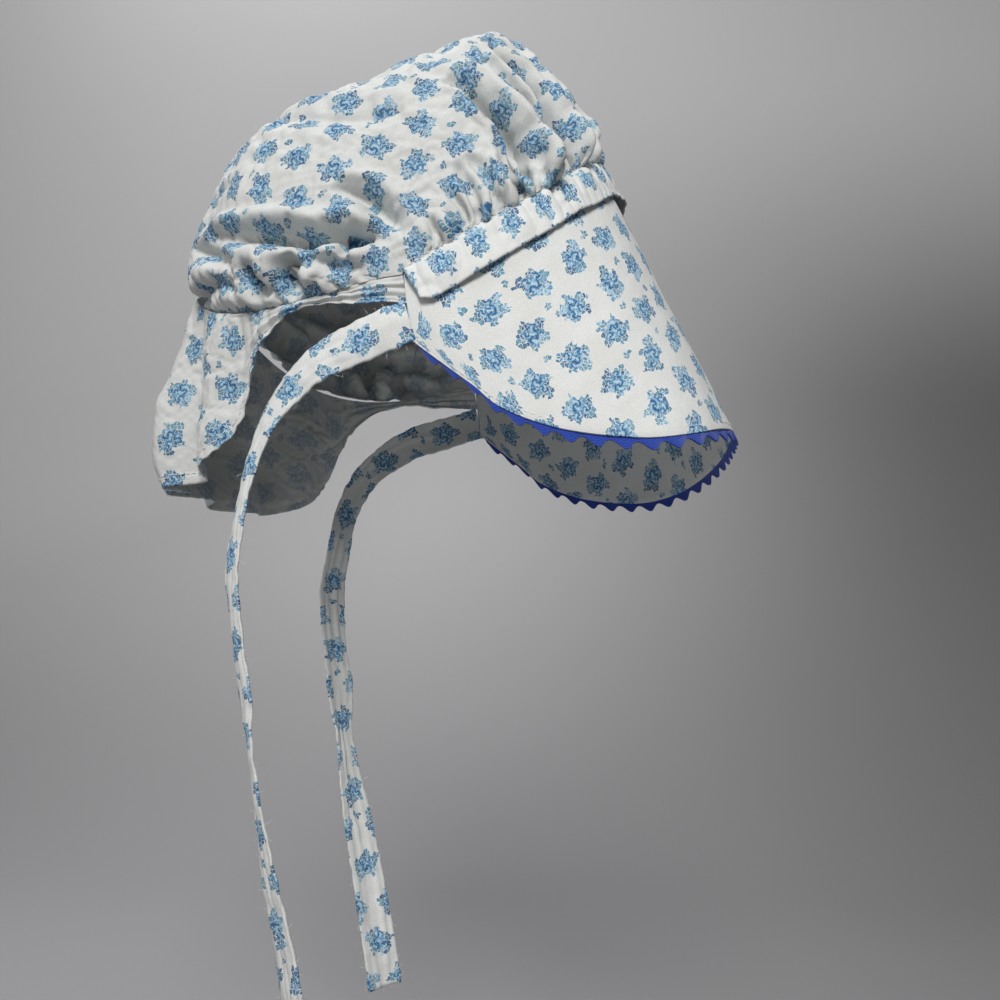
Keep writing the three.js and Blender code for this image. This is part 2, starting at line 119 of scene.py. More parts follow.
# name, place, size, watts, colour, what it points at
LAMPS = [
    ("window", (0.15, -1.6, 0.85), 0.7, 32, (1.0, 0.99, 0.97), BONNET_MIDDLE),
    ("side_window", (-1.3, -0.9, 0.8), 0.8, 4, (1.0, 0.98, 0.95), BONNET_MIDDLE),
    ("ceiling", (0.0, 0.0, 1.5), 1.2, 3.5, (0.95, 0.97, 1.0), BONNET_MIDDLE),
    ("far_fill", (-0.45, 0.75, 0.75), 0.6, 7, (0.97, 0.98, 1.0), BONNET_MIDDLE),
    ("wall_wash", (-0.7, 0.75, 2.1), 0.8, 11, (1.0, 1.0, 1.0), WALL_SPOT),
]

scene.view_settings.view_transform = "Standard"
world = bpy.data.worlds.new("soft_room")
world.use_nodes = True
background = world.node_tree.nodes["Background"]
background.inputs["Color"].default_value = WORLD_COLOUR
background.inputs["Strength"].default_value = WORLD_STRENGTH
scene.world = world


def soft_lamp(name, place, size, watts, colour, lit):
    """A square area lamp that points at a place."""
    lamp = bpy.data.lights.new(name, "AREA")
    lamp.size = size
    lamp.energy = watts
    lamp.color = colour
    made = bpy.data.objects.new(name, lamp)
    made.location = place
    made.rotation_euler = (Vector(lit) - Vector(place)).to_track_quat("-Z", "Y").to_euler()
    scene.collection.objects.link(made)


for lamp_row in LAMPS:
    soft_lamp(*lamp_row)
print("lamps:", ", ".join(row[0] for row in LAMPS))

# %% [markdown]
# ## The arches
# Crown and brim meet at the ear corners. All the arches of the bonnet fan out from the line between
# those corners, like the hoops of a pram hood. An arch is a stretched half circle: its angle, its
# reach and its width come from a short table, and a smooth curve through each column gives every
# arch between two rows.

# %% Sizes of the bonnet
EAR_HALF_WIDTH = 0.095
EAR_BEHIND_ORIGIN = 0.038
EAR_BELOW_ORIGIN = 0.178
CORNER_REACH = 0.002
CROWN_REACH = 0.170
CROWN_BULGE = 0.024
SEAM_REACH = 0.120
SEAM_LIFT = 0.0018
LIFT_RUN = 0.2
ARCH_LEAN = 3

# down, middle angle, side angle, puff, bulge, roundness
CROWN_ARCHES = [
    (0.00, 46.0, 33, 0.00, 0.00, 1.00),
    (0.07, 52.5, 43, 0.25, 0.30, 1.00),
    (0.12, 60.5, 54, 0.56, 0.55, 1.00),
    (0.19, 69.0, 67, 0.82, 0.85, 1.02),
    (0.26, 77.0, 78, 1.00, 1.00, 1.04),
    (0.35, 87.0, 90, 0.78, 1.00, 1.05),
    (0.46, 101.0, 106, 0.53, 1.00, 1.05),
    (0.58, 117.0, 124, 0.66, 1.00, 1.05),
    (0.69, 131.0, 141, 0.68, 1.00, 1.05),
    (0.80, 145.0, 161, 0.56, 0.90, 1.00),
    (0.90, 157.0, 177, 0.50, 0.75, 1.00),
    (0.94, 162.0, 182, 0.42, 0.50, 1.00),
    (1.00, 168.0, 191, 0.24, 0.15, 1.02),
]

# %% Smooth tables and arches


def mix(a, b, t):
    return a + (b - a) * t


def ease(x, low, high):
    """0 below low, 1 above high, and a smooth step between them."""
    t = np.clip((x - low) / (high - low), 0, 1)
    return t * t * (3 - 2 * t)


def smooth(table, column, at):
    """A smooth value of one column of a table at places on its first column."""
    places = np.array([row[0] for row in table], float)
    values = np.array([row[column] for row in table], float)
    after = np.append(np.arange(1, len(table)), len(table) - 1)
    before = np.insert(np.arange(len(table) - 1), 0, 0)
    slopes = (values[after] - values[before]) / (places[after] - places[before])
    at = np.clip(at, places[0], places[-1])
    row = np.clip(np.searchsorted(places, at, side="right") - 1, 0, len(table) - 2)
    span = places[row + 1] - places[row]
    t = (at - places[row]) / span
    start = values[row] * (2 * t**3 - 3 * t**2 + 1) + slopes[row] * span * (t**3 - 2 * t**2 + t)
    end = values[row + 1] * (3 * t**2 - 2 * t**3) + slopes[row + 1] * span * (t**3 - t**2)
    return start + end


def from_ears(across, forward, up):
    """Points from how far they lie across, forward of and above the middle of the ear line."""
    across, forward, up = np.broadcast_arrays(across, forward, up)
    return np.stack([forward - EAR_BEHIND_ORIGIN, across, up - EAR_BELOW_ORIGIN], axis=-1)


def arch(share, middle, side, reach, half_width, bulge, roundness):
    """Arches over the head from the right ear, at share 0, to the left ear, at share 1."""
    height = np.maximum(np.sin(np.pi * share), 0)
    rise = CORNER_REACH + (reach - CORNER_REACH) * height**roundness
    across = -(half_width + bulge * height) * np.cos(np.pi * share)
    angle = np.radians(mix(side, middle, height**ARCH_LEAN))
    return from_ears(across, rise * np.cos(angle), rise * np.sin(angle))


def crown_arch(share, down):
    """The smooth crown, with no gathers yet."""
    lift = SEAM_LIFT * (1 - ease(down, 0, LIFT_RUN))
    reach = mix(SEAM_REACH, CROWN_REACH, smooth(CROWN_ARCHES, 3, down)) + lift
    bulge = smooth(CROWN_ARCHES, 4, down) * CROWN_BULGE
    middle = smooth(CROWN_ARCHES, 1, down)
    side = smooth(CROWN_ARCHES, 2, down)
    roundness = smooth(CROWN_ARCHES, 5, down)
    return arch(share, middle, side, reach, EAR_HALF_WIDTH + lift, bulge, roundness)


def seam_arch(share):
    """The line of stitches where the crown meets the brim."""
    first = CROWN_ARCHES[0]
    return arch(share, first[1], first[2], SEAM_REACH, EAR_HALF_WIDTH, 0, first[5])


# %% Grids


def grid_shares(columns, rows):
    """Shares across and down for a grid of columns by rows."""
    across, down = np.meshgrid(np.linspace(0, 1, columns + 1), np.linspace(0, 1, rows + 1))
    return across, down


def unit(vectors):
    return vectors / np.maximum(np.linalg.norm(vectors, axis=-1, keepdims=True), 1e-12)


def facing(grid):
    """The outward direction at each point of a grid."""
    return unit(np.cross(np.gradient(grid, axis=1), np.gradient(grid, axis=0)))


def lengths_along(grid, axis):
    """Distance along the grid's lines in one axis, from their first points."""
    steps = np.linalg.norm(np.diff(grid, axis=axis), axis=-1)
    start = np.zeros_like(np.take(steps, [0], axis=axis))
    return np.concatenate([start, np.cumsum(steps, axis=axis)], axis=axis)


def raised(grid, height):
    """A grid with each point moved outward by its own height."""
    return grid + facing(grid) * height[..., None]


def cloth_mesh(name, grid, across, along):
    """A sheet of cloth through a grid of points, with the cloth's own flat sizes as its UV map."""
    rows, columns = grid.shape[0] - 1, grid.shape[1] - 1
    index = np.arange((rows + 1) * (columns + 1)).reshape(rows + 1, columns + 1)
    corners = [index[:-1, :-1], index[:-1, 1:], index[1:, 1:], index[1:, :-1]]
    faces = np.stack(corners, axis=-1).reshape(-1, 4)
    made = link_mesh(name, grid.reshape(-1, 3), faces)
    flat = np.stack([across, along], axis=-1).reshape(-1, 2)
    layer = made.data.uv_layers.new(name="cloth")
    layer.data.foreach_set("uv", flat[faces.reshape(-1)].astype(np.float32).ravel())
    for face in made.data.polygons:
        face.use_smooth = True
    return made


def uneven(points, wavelength, seed):
    """Smooth noise between about -1 and 1 over points, always the same for the same seed."""
    shift = Vector((seed * 7.3, seed * 3.1, seed * 5.7))
    flat = points.reshape(-1, 3) / wavelength
    values = [noise.noise(Vector(p) + shift) for p in flat]
    return np.array(values).reshape(points.shape[:-1]) * 1.6


# %% [markdown]
# ## Cotton with a sprig print
# The cloth is a white plain weave, printed all over with small bouquets and, between them, tiny
# sprigs. Such a print could be an image, but here it is drawn by nodes, so that it stays sharp at
# any distance. The UV map holds the flat cloth in metres: the print is squeezed where the cloth is
# gathered, as on a real bonnet. The leaves are uneven cells: those whose middles lie near a bouquet
# belong to it, so its outline is ragged. Three roses are drawn over them in polar coordinates, and
# every bouquet is turned by its own luck.

# %% A short way to write nodes


class Sketch:
    """Adds nodes to a tree and returns their sockets."""

    def __init__(self, tree):
        self.tree = tree

    def put(self, socket, value):
        if isinstance(value, bpy.types.NodeSocket):
            self.tree.links.new(value, socket)
        elif value is not None:
            socket.default_value = value

    def node(self, kind, inputs=None, **settings):
        """A node with its settings, and with numbers or links in its inputs."""
        made = self.tree.nodes.new(kind)
        for name, value in settings.items():
            setattr(made, name, value)
        for name, value in (inputs or {}).items():
            self.put(made.inputs[name], value)
        return made

    def math(self, operation, *values):
        inputs = dict(enumerate(values))
        return self.node("ShaderNodeMath", inputs, operation=operation).outputs[0]

    def plus(self, a, b):
        return self.math("ADD", a, b)

    def minus(self, a, b):
        return self.math("SUBTRACT", a, b)

    def times(self, a, b):
        return self.math("MULTIPLY", a, b)

    def times_plus(self, a, b, c):
        return self.math("MULTIPLY_ADD", a, b, c)

    def sine(self, a):
        return self.math("SINE", a)

    def cosine(self, a):
        return self.math("COSINE", a)

    def vector(self, operation, *values):
        inputs = dict(enumerate(values))
        made = self.node("ShaderNodeVectorMath", inputs, operation=operation)
        return made.outputs["Value" if operation == "LENGTH" else "Vector"]

    def scaled(self, vector, factor):
        inputs = {0: vector, "Scale": factor}
        return self.node("ShaderNodeVectorMath", inputs, operation="SCALE").outputs["Vector"]

    def split(self, vector):
        made = self.node("ShaderNodeSeparateXYZ", {0: vector})
        return made.outputs[0], made.outputs[1], made.outputs[2]

    def join(self, x, y, z=0.0):
        return self.node("ShaderNodeCombineXYZ", {0: x, 1: y, 2: z}).outputs[0]

    def step(self, value, low, high, to_low=0.0, to_high=1.0):
        """A smooth step between two values. It runs down where low is the larger."""
        inputs = dict(enumerate((value, low, high, to_low, to_high)))
        made = self.node("ShaderNodeMapRange", inputs, interpolation_type="SMOOTHSTEP")
        return made.outputs[0]

    def blend(self, share, first, second):
        inputs = {"Factor": share, 6: first, 7: second}
        return self.node("ShaderNodeMix", inputs, data_type="RGBA").outputs[2]

    def noise(self, vector, scale, detail=2.0, roughness=0.5):
        inputs = {"Vector": vector, "Scale": scale, "Detail": detail, "Roughness": roughness}
        return self.node("ShaderNodeTexNoise", inputs).outputs["Fac"]

    def random(self, vector):
        made = self.node("ShaderNodeTexWhiteNoise", {"Vector": vector}, noise_dimensions="3D")
        return made.outputs["Value"], made.outputs["Color"]

    def bump(self, height, strength, distance, under=None):
        """A relief for a shader's normal, laid over another one."""
        inputs = {"Strength": strength, "Distance": distance, "Height": height, "Normal": under}
        return self.node("ShaderNodeBump", inputs).outputs[0]


# %% Sizes and colours of the print, in millimetres
BOUQUET_PITCH = 23.5
ROW_PITCH = 20.4
PETAL_SIZE = 1.85
BOUQUET_RADIUS = 7.3
BOUQUET_LENGTHENING = 1.1
LOBE_HEIGHT = 1.25
CORE_RADIUS = 4.6
SPRIG_RADIUS = 1.9
SPRIG_SHIFT = (0.5, 0.36)
GAPS_WITHOUT_SPRIG = 0.4
WOBBLE_SCALE = 0.55
WOBBLE_REACH = 2.4
PALETTE = {
    "light": (0.36, 0.60, 0.77, 1),
    "mid": (0.125, 0.315, 0.53, 1),
    "dark": (0.030, 0.105, 0.25, 1),
    "teal": (0.12, 0.34, 0.42, 1),
}

# across, along and radius, and where the petals' turn starts
ROSES = [
    (0.9, -1.6, 3.3, 0.0),
    (-3.2, 1.2, 2.4, 1.3),
    (2.0, 3.0, 2.2, 2.1),
]

# %% Where the bouquets and their leaves lie


def lattice(sketch, place, shift_across, shift_along):
    """The place inside a cell of a staggered lattice, and the cell's own numbers."""
    x, y, _ = sketch.split(place)
    y = sketch.times_plus(y, 1 / ROW_PITCH, shift_along)
    row = sketch.math("FLOOR", y)
    odd = sketch.times(sketch.math("MODULO", sketch.math("ABSOLUTE", row), 2.0), 0.5)
    x = sketch.plus(sketch.times_plus(x, 1 / BOUQUET_PITCH, shift_across), odd)
    column = sketch.math("FLOOR", x)
    inside_x = sketch.times(sketch.minus(sketch.math("FRACT", x), 0.5), BOUQUET_PITCH)
    inside_y = sketch.times(sketch.minus(sketch.math("FRACT", y), 0.5), ROW_PITCH)
    return inside_x, inside_y, sketch.join(column, row, shift_across * 10)


def turned(sketch, place):
    """The luck of the bouquet at a place, and the place in polar coordinates turned by it."""
    x, y, cell = lattice(sketch, place, 0.0, 0.0)
    luck, _ = sketch.random(cell)
    radius = sketch.vector("LENGTH", sketch.join(x, y))
    turn = sketch.times_plus(luck, 6.28, sketch.math("ARCTAN2", y, x))
    return luck, radius, turn


def leaves(sketch, place):
    """Small uneven leaves: the middle of the leaf here, its luck, and the distance to its edge."""
    inputs = {"Vector": sketch.scaled(place, 1 / PETAL_SIZE), "Scale": 1.0}
    kind, flat = "ShaderNodeTexVoronoi", "2D"
    found = sketch.node(kind, inputs, feature="F1", voronoi_dimensions=flat)
    edges = sketch.node(kind, inputs, feature="DISTANCE_TO_EDGE", voronoi_dimensions=flat)
    middle = sketch.scaled(found.outputs["Position"], PETAL_SIZE)
    return middle, found.outputs["Color"], edges.outputs["Distance"]


def where_leaves_show(sketch, middle, luck, radius, turn):
    """1 where a leaf's middle lies in a bouquet or in a sprig, and 0 elsewhere."""
    longer = sketch.times(sketch.sine(sketch.times(turn, 2.0)), BOUQUET_LENGTHENING)
    lobes = sketch.sine(sketch.times_plus(luck, 9.0, sketch.times(turn, 5.0)))
    reach = sketch.times_plus(lobes, LOBE_HEIGHT, sketch.plus(longer, BOUQUET_RADIUS))
    in_bouquet = sketch.step(sketch.minus(reach, radius), -0.02, 0.02)
    x, y, cell = lattice(sketch, middle, *SPRIG_SHIFT)
    _, sprig_luck = sketch.random(cell)
    shown, _, _ = sketch.split(sprig_luck)
    sprig_radius = sketch.vector("LENGTH", sketch.join(x, y))
    in_sprig = sketch.step(sprig_radius, SPRIG_RADIUS, SPRIG_RADIUS - 0.05)
    in_sprig = sketch.times(
        in_sprig, sketch.step(shown, GAPS_WITHOUT_SPRIG, GAPS_WITHOUT_SPRIG + 0.01)
    )
    return sketch.math("MAXIMUM", in_bouquet, in_sprig)


# %% The colours of leaves and roses


def leaf_colour(sketch, leaf_luck, edge, radius, turn, fleck):
    """Each leaf is light, mid or dark by its luck, and the outer ones are more often teal."""
    tint, other, _ = sketch.split(leaf_luck)
    shaded = sketch.times(sketch.sine(turn), sketch.times(radius, 0.055))
    tint = sketch.plus(tint, shaded)
    colour = sketch.blend(sketch.step(tint, 0.33, 0.38), PALETTE["light"], PALETTE["mid"])
    colour = sketch.blend(sketch.step(tint, 0.68, 0.74), colour, PALETTE["dark"])
    outer = sketch.times_plus(radius, 0.045, other)
    colour = sketch.blend(sketch.step(outer, 0.80, 0.84, 0.0, 0.7), colour, PALETTE["teal"])
    colour = sketch.blend(sketch.step(fleck, 0.52, 0.60, 0.0, 0.8), colour, PALETTE["dark"])
    return sketch.blend(sketch.step(edge, 0.2, 0.42, 0.0, 0.3), colour, PALETTE["light"])


def rose(sketch, x, y, across, along, size, start):
    """One rose: how deep a place lies in it, and the curl of its petals."""
    x = sketch.minus(x, across)
    y = sketch.minus(y, along)
    radius = sketch.vector("LENGTH", sketch.join(x, y))
    turn = sketch.plus(sketch.math("ARCTAN2", y, x), start)
    scallops = sketch.sine(sketch.times(turn, 5.0))
    depth = sketch.minus(sketch.times_plus(scallops, 0.12 * size, size), radius)
    spiral = sketch.times_plus(radius, 6.0 / size, sketch.times(turn, 2.0))
    return depth, sketch.sine(spiral)


def rose_colour(sketch, depth, curl, size, fleck, ground):
    """Curled petals between light and dark, with a darker edge and heart."""
    mid, dark = PALETTE["mid"], PALETTE["dark"]
    colour = sketch.blend(sketch.step(curl, -0.6, 0.0), mid, PALETTE["light"])
    colour = sketch.blend(sketch.step(curl, -0.6, -0.9, 0.0, 0.85), colour, dark)
    colour = sketch.blend(sketch.step(curl, 0.6, 0.9, 0.0, 0.5), colour, ground)
    colour = sketch.blend(sketch.step(depth, 0.5, 0.1, 0.0, 0.9), colour, mid)
    heart = sketch.step(depth, 0.65 * size, 0.85 * size, 0.0, 0.8)
    colour = sketch.blend(heart, colour, dark)
    return sketch.blend(sketch.step(fleck, 0.56, 0.62, 0.0, 0.9), colour, dark)


# %% The print


def print_group():
    """The node group that draws the print: a cloth place in metres in, a colour out."""
    tree = bpy.data.node_groups.new("sprig_print", "ShaderNodeTree")
    tree.interface.new_socket("Place", in_out="INPUT", socket_type="NodeSocketVector")
    tree.interface.new_socket("Ground", in_out="INPUT", socket_type="NodeSocketColor")
    tree.interface.new_socket("Color", in_out="OUTPUT", socket_type="NodeSocketColor")
    sketch = Sketch(tree)
    given = sketch.node("NodeGroupInput").outputs
    place = sketch.scaled(given["Place"], 1000.0)
    wobble = sketch.node("ShaderNodeTexNoise", {"Vector": place, "Scale": WOBBLE_SCALE})
    shake = sketch.vector("SUBTRACT", wobble.outputs["Color"], (0.5, 0.5, 0.5))
    place = sketch.vector("ADD", place, sketch.scaled(shake, WOBBLE_REACH))
    fleck = sketch.noise(place, 0.8, 2.0, 0.6)

    middle, leaf_luck, edge = leaves(sketch, place)
    luck, radius, turn = turned(sketch, middle)
    drawn = where_leaves_show(sketch, middle, luck, radius, turn)
    drawn = sketch.times(drawn, sketch.step(edge, 0.045, 0.11))
    leaf = leaf_colour(sketch, leaf_luck, edge, radius, turn, fleck)

    _, radius, turn = turned(sketch, place)
    core = sketch.step(radius, CORE_RADIUS, 3.0, 0.0, 0.6)
    behind = sketch.blend(core, given["Ground"], PALETTE["mid"])
    colour = sketch.blend(drawn, behind, leaf)
    x = sketch.times(radius, sketch.cosine(turn))
    y = sketch.times(radius, sketch.sine(turn))
    for across, along, size, start in ROSES:
        depth, curl = rose(sketch, x, y, across, along, size, start)
        petal = rose_colour(sketch, depth, curl, size, fleck, given["Ground"])
        colour = sketch.blend(sketch.step(depth, 0.0, 0.2), colour, petal)
    sketch.node("NodeGroupOutput", {"Color": colour})
    return tree


SPRIG_PRINT = print_group()
print("print group nodes:", len(SPRIG_PRINT.nodes))

# %% Cotton, its back and the wall
COTTON_WHITE = (0.785, 0.80, 0.785, 1)
COTTON_SHADE = (0.75, 0.76, 0.735, 1)
ONE_LAYER = 0.84
THREAD_PITCH = 0.00045
THREAD_RELIEF = 0.00012
CRUMPLE_RELIEF = 0.0012
# wall colours: painted shade near the floor, the paint higher up, painted shade to the lower right
WALL_SHADE_NEAR_FLOOR = (0.30, 0.296, 0.30, 1)
WALL_HIGH = (0.65, 0.645, 0.65, 1)
WALL_SHADE_TO_RIGHT = (0.17, 0.168, 0.17, 1)
WALL_CLOUD = (0.3, 0.3, 0.31, 1)


def new_material(name, roughness, sheen):
    """A material with its shader and its sketch."""
    material = bpy.data.materials.new(name)
    material.use_nodes = True
    shader = material.node_tree.nodes["Principled BSDF"]
    shader.inputs["Roughness"].default_value = roughness
    shader.inputs["Sheen Weight"].default_value = sheen
    shader.inputs["Sheen Roughness"].default_value = 0.5
    return material, shader, Sketch(material.node_tree)


def weave(sketch, place, pitch):
    """The relief of a plain weave, with slightly uneven threads."""
    x, y, _ = sketch.split(sketch.scaled(place, 2 * math.pi / pitch))
    slub = sketch.noise(place, 900.0)
    over = sketch.times(sketch.sine(x), sketch.sine(y))
    return sketch.times_plus(over, 0.5, slub)


def cotton(name, print_strength, layers):
    """Printed cotton. A smaller print strength gives the back of the cloth, where the print only
    shows through. One layer lets some light through, so it looks a little darker than two."""
    material, shader, sketch = new_material(name, 0.9, 0.05)
    place = sketch.node("ShaderNodeUVMap", uv_map="cloth").outputs[0]
    cloud = sketch.noise(place, 60.0, 3.0)
    ground = sketch.blend(sketch.step(cloud, 0.35, 0.65), COTTON_WHITE, COTTON_SHADE)
    inputs = {"Place": place, "Ground": ground}
    drawing = sketch.node("ShaderNodeGroup", inputs, node_tree=SPRIG_PRINT)
    colour = sketch.blend(print_strength, ground, drawing.outputs["Color"])
    speckle = sketch.step(sketch.noise(place, 1300.0, 2.0, 0.7), 0.3, 0.7, 0.90, 1.05)
    speckle = sketch.times(speckle, 1.0 if layers == 2 else ONE_LAYER)
    sketch.put(shader.inputs["Base Color"], sketch.scaled(colour, speckle))
    crumple = sketch.bump(sketch.noise(place, 95.0, 4.0, 0.6), 0.5, CRUMPLE_RELIEF)
    threads = sketch.bump(weave(sketch, place, THREAD_PITCH), 0.45, THREAD_RELIEF, crumple)
    sketch.put(shader.inputs["Normal"], threads)
    return material


def shaded_wall_paint():
    """Wall paint with painted shade, which makes it darker towards the floor and towards the right.
    """
    material, shader, sketch = new_material("wall_with_painted_shade", 0.9, 0.0)
    place = sketch.node("ShaderNodeTexCoord").outputs["Object"]
    x, _, z = sketch.split(place)
    # painted shade: the wall and floor get darker towards the floor
    paint = sketch.blend(sketch.step(z, -0.65, 0.2), WALL_SHADE_NEAR_FLOOR, WALL_HIGH)
    # painted shade: darker again towards the lower right of the wall
    painted_shade = sketch.times(sketch.step(x, -0.5, 0.8), sketch.step(z, 0.9, 0.1))
    paint = sketch.blend(painted_shade, paint, WALL_SHADE_TO_RIGHT)
    cloud = sketch.step(sketch.noise(place, 1.2), 0.3, 0.7, 0.0, 0.06)
    sketch.put(shader.inputs["Base Color"], sketch.blend(cloud, paint, WALL_CLOUD))
    return material


COTTON = cotton("printed_cotton", 1.0, 2)
COTTON_SINGLE = cotton("printed_cotton_single", 1.0, 1)
COTTON_BACK = cotton("printed_cotton_back", 0.45, 1)
stage.data.materials.append(shaded_wall_paint())
print("materials:", ", ".join(material.name for material in bpy.data.materials))

# %% [markdown]
# ## Giving cloth its thickness
# Real cotton is only a few tenths of a millimetre thick, and its two sides look different: the
# print shows strongly on the face and faintly on the back. Solidify adds the second side and gives
# it the second material of the piece. It keeps the UV map, so the print lies in the same place.

# %% Finish a sheet
CLOTH_THICKNESS = 0.0006

# where each piece is cut from the length of printed cloth, in metres
BRIM_CUT_FROM = 0.4
FRILL_CUT_FROM = 0.9
NECK_FRILL_CUT_FROM = 1.3
TIES_CUT_FROM = 1.7
TIE_CUT_BESIDE = 0.2


def thicken(piece, thickness):
    """Gives a sheet its thickness, half of it to each side."""
    solidify = piece.modifiers.new("thickness", "SOLIDIFY")
    solidify.thickness = thickness
    solidify.offset = 0
    return solidify


def soften_edges(piece, width, sharper_than):
    """Rounds the edges that turn by more than an angle in degrees."""
    bevel = piece.modifiers.new("soft_edge", "BEVEL")
    bevel.width = width
    bevel.segments = 2
    bevel.limit_method = "ANGLE"
    bevel.angle_limit = math.radians(sharper_than)


def finish_cloth(piece, thickness, node, face_material, back_material):
    """Gives a sheet its thickness and its two materials, and puts it in its solid's place."""
    piece.data.materials.append(face_material)
    piece.data.materials.append(back_material)
    solidify = thicken(piece, thickness)
    solidify.use_rim = True
    solidify.material_offset = 1
    solidify.material_offset_rim = 0
    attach(piece, "root")
    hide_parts(node)
    print(piece.name, len(piece.data.polygons), "faces")


# %% [markdown]
# ## Brim
# The brim is two layers of the same cloth with a stiffening between them. It runs in straight lines
# from the crown seam to the rim, so it is a ruled surface between two curves, which is also how its
# paper pattern could be rolled up. It is built as one wall of its full thickness.

# %% Brim
BRIM_THICKNESS = 0.0024
RIM_HALF_WIDTH = 0.097
RIM_FORWARD = 0.148
RIM_DROP = 0.076
CHEEK_SEAM = 0.031
CHEEK_FORWARD = 0.17
CORNER_CUT = 0.002
BRIM_UNEVENNESS = 0.0005
BRIM_EDGE = 0.0008
SEAM_ARC = math.pi * math.hypot(SEAM_REACH, EAR_HALF_WIDTH) * math.sqrt(0.5)
CHEEK_SHARE = CHEEK_SEAM / (SEAM_ARC + 2 * CHEEK_SEAM)
BRIM_COLUMNS = 176
BRIM_ROWS = 40

# around, across, forward, down
RIM = [
    (0.000, 0.980, 0.052, 0.440),
    (0.073, 1.000, 0.214, 0.680),
    (0.112, 0.990, 0.300, 0.820),
    (0.174, 0.970, 0.473, 0.950),
    (0.250, 0.915, 0.695, 1.000),
    (0.300, 0.820, 0.830, 0.960),
    (0.353, 0.650, 0.922, 0.890),
    (0.420, 0.360, 0.985, 0.820),
    (0.500, 0.000, 1.000, 0.795),
]


def cheek_corner(side):
    """The lowest back corner of the brim on one side, at the bottom of its cheek seam."""
    return from_ears(side * EAR_HALF_WIDTH, CHEEK_FORWARD * CHEEK_SEAM, -CHEEK_SEAM)


def brim_back(share):
    """The brim's back edge: up one cheek seam, along the crown seam, down the other cheek seam."""
    side = np.where(share < 0.5, -1.0, 1.0)
    from_cheek = np.minimum(share, 1 - share) / CHEEK_SHARE
    over = seam_arch(np.clip((share - CHEEK_SHARE) / (1 - 2 * CHEEK_SHARE), 0, 1))
    up = mix(cheek_corner(side), over, np.minimum(from_cheek, 1)[..., None])
    return np.where((from_cheek >= 1)[..., None], over, up)


def rim(share):
    """The brim's front edge."""
    around = np.minimum(share, 1 - share)
    side = np.where(share < 0.5, -1.0, 1.0)
    across = side * smooth(RIM, 1, around) * RIM_HALF_WIDTH
    forward = smooth(RIM, 2, around) * RIM_FORWARD
    place = from_ears(across, forward, -smooth(RIM, 3, around) * RIM_DROP)
    corner = cheek_corner(side) + np.array([CORNER_CUT, 0, -CORNER_CUT / 2])
    return mix(corner, place, ease(around, 0, RIM[1][0])[..., None])


def brim_point(share, out):
    """A place on the brim, from its back edge at out 0 to the rim at out 1."""
    return mix(brim_back(share), rim(share), out[..., None])


def brim_grid(columns, rows):
    """The brim as a grid, with the flat sizes of its cloth."""
    share, out = grid_shares(columns, rows)
    grid = brim_point(share, out)
    width = lengths_along(grid, 1)
    across = width - width[:, -1:] / 2
    return grid, across, lengths_along(grid, 0)


points, across, along = brim_grid(BRIM_COLUMNS, BRIM_ROWS)
points = raised(points, BRIM_UNEVENNESS * uneven(points, 0.03, 5))
brim = cloth_mesh("brim_cloth", points, across, along + BRIM_CUT_FROM)
finish_cloth(brim, BRIM_THICKNESS, "brim", COTTON, COTTON)
soften_edges(brim, BRIM_EDGE, 60)

# %% [markdown]
# ## Crown
# The crown is one full piece of cloth. Along the brim and along the nape it is drawn up on a
# thread, so it stands in small pleats there, which join into fewer and softer folds further away.
# A gather is drawn as a wave with a round ridge and a narrow valley. Three such waves of different
# widths are laid over each other, and the finest dies out soonest. The larger folds follow short
# lines over the crown. Each is a valley between two raised lips.

# %% Sizes of the gathers
GATHER_COUNT = 26
NAPE_GATHER_COUNT = 22
EAR_FADE = 0.2

# heights, or heights beside the ears and over the head
FINE_GATHER = 0.0021
MIDDLE_GATHER = (0.0046, 0.0036)
BROAD_GATHER = (0.0010, 0.0042)
TOP_DIP = 0.0035
NAPE_FINE_GATHER = 0.0014
NAPE_GATHER = 0.0026
NAPE_DRAWN_IN = 0.0055

# how far from the thread a gather dies out, or where it starts, is highest and has died out
FINE_RUN = 0.013
MIDDLE_RUN = (-0.004, 0.012, 0.055)
BROAD_RUN = (0.0, 0.024, 0.10)
TOP_DIP_RUN = (0.0, 0.022, 0.07)
NAPE_FINE_RUN = 0.006
NAPE_RUN = (-0.004, 0.010, 0.034)
NAPE_DRAWN_RUN = 0.005

# %% Gathers


def pleats(share, count, unevenness, seed):
    """Round ridges and narrow valleys along a gathered edge."""
    drift = np.sin(2 * np.pi * 3.1 * share + seed)
    drift = drift + 0.6 * np.sin(2 * np.pi * 7.3 * share + 1 + seed)
    wave = np.abs(np.sin(np.pi * (count * share + unevenness * drift / 3)))
    strength = 0.7 + 0.3 * np.sin(2 * np.pi * 4.7 * share + 2 + seed)
    return (2 * wave**0.6 - 1.3) * strength


def seam_pleats(share):
    """The finest pleats at the crown seam, which the crown and the standing frill share."""
    return pleats(share, 2 * GATHER_COUNT, 1.2, 0)


def nape_pleats(share):
    """The finest pleats at the nape, which the crown and the neck frill share."""
    return pleats(share, 2 * NAPE_GATHER_COUNT, 1.4, 3)


def swell(distance, start, peak, end):
    """How high a fold stands: it grows from start to peak and has died out at end."""
    return ease(distance, start, peak) * (1 - ease(distance, peak, end))


def nape_line(share):
    """Where the nape's drawn thread lies, as a share of the way down the crown."""
    return 1 - 0.07 * (1 - ease(np.sin(np.pi * share), 0.6, 0.92))


def from_ears_on(share):
    """0 at the ears, and 1 over most of the head."""
    return np.minimum(np.sin(np.pi * share) / EAR_FADE, 1)


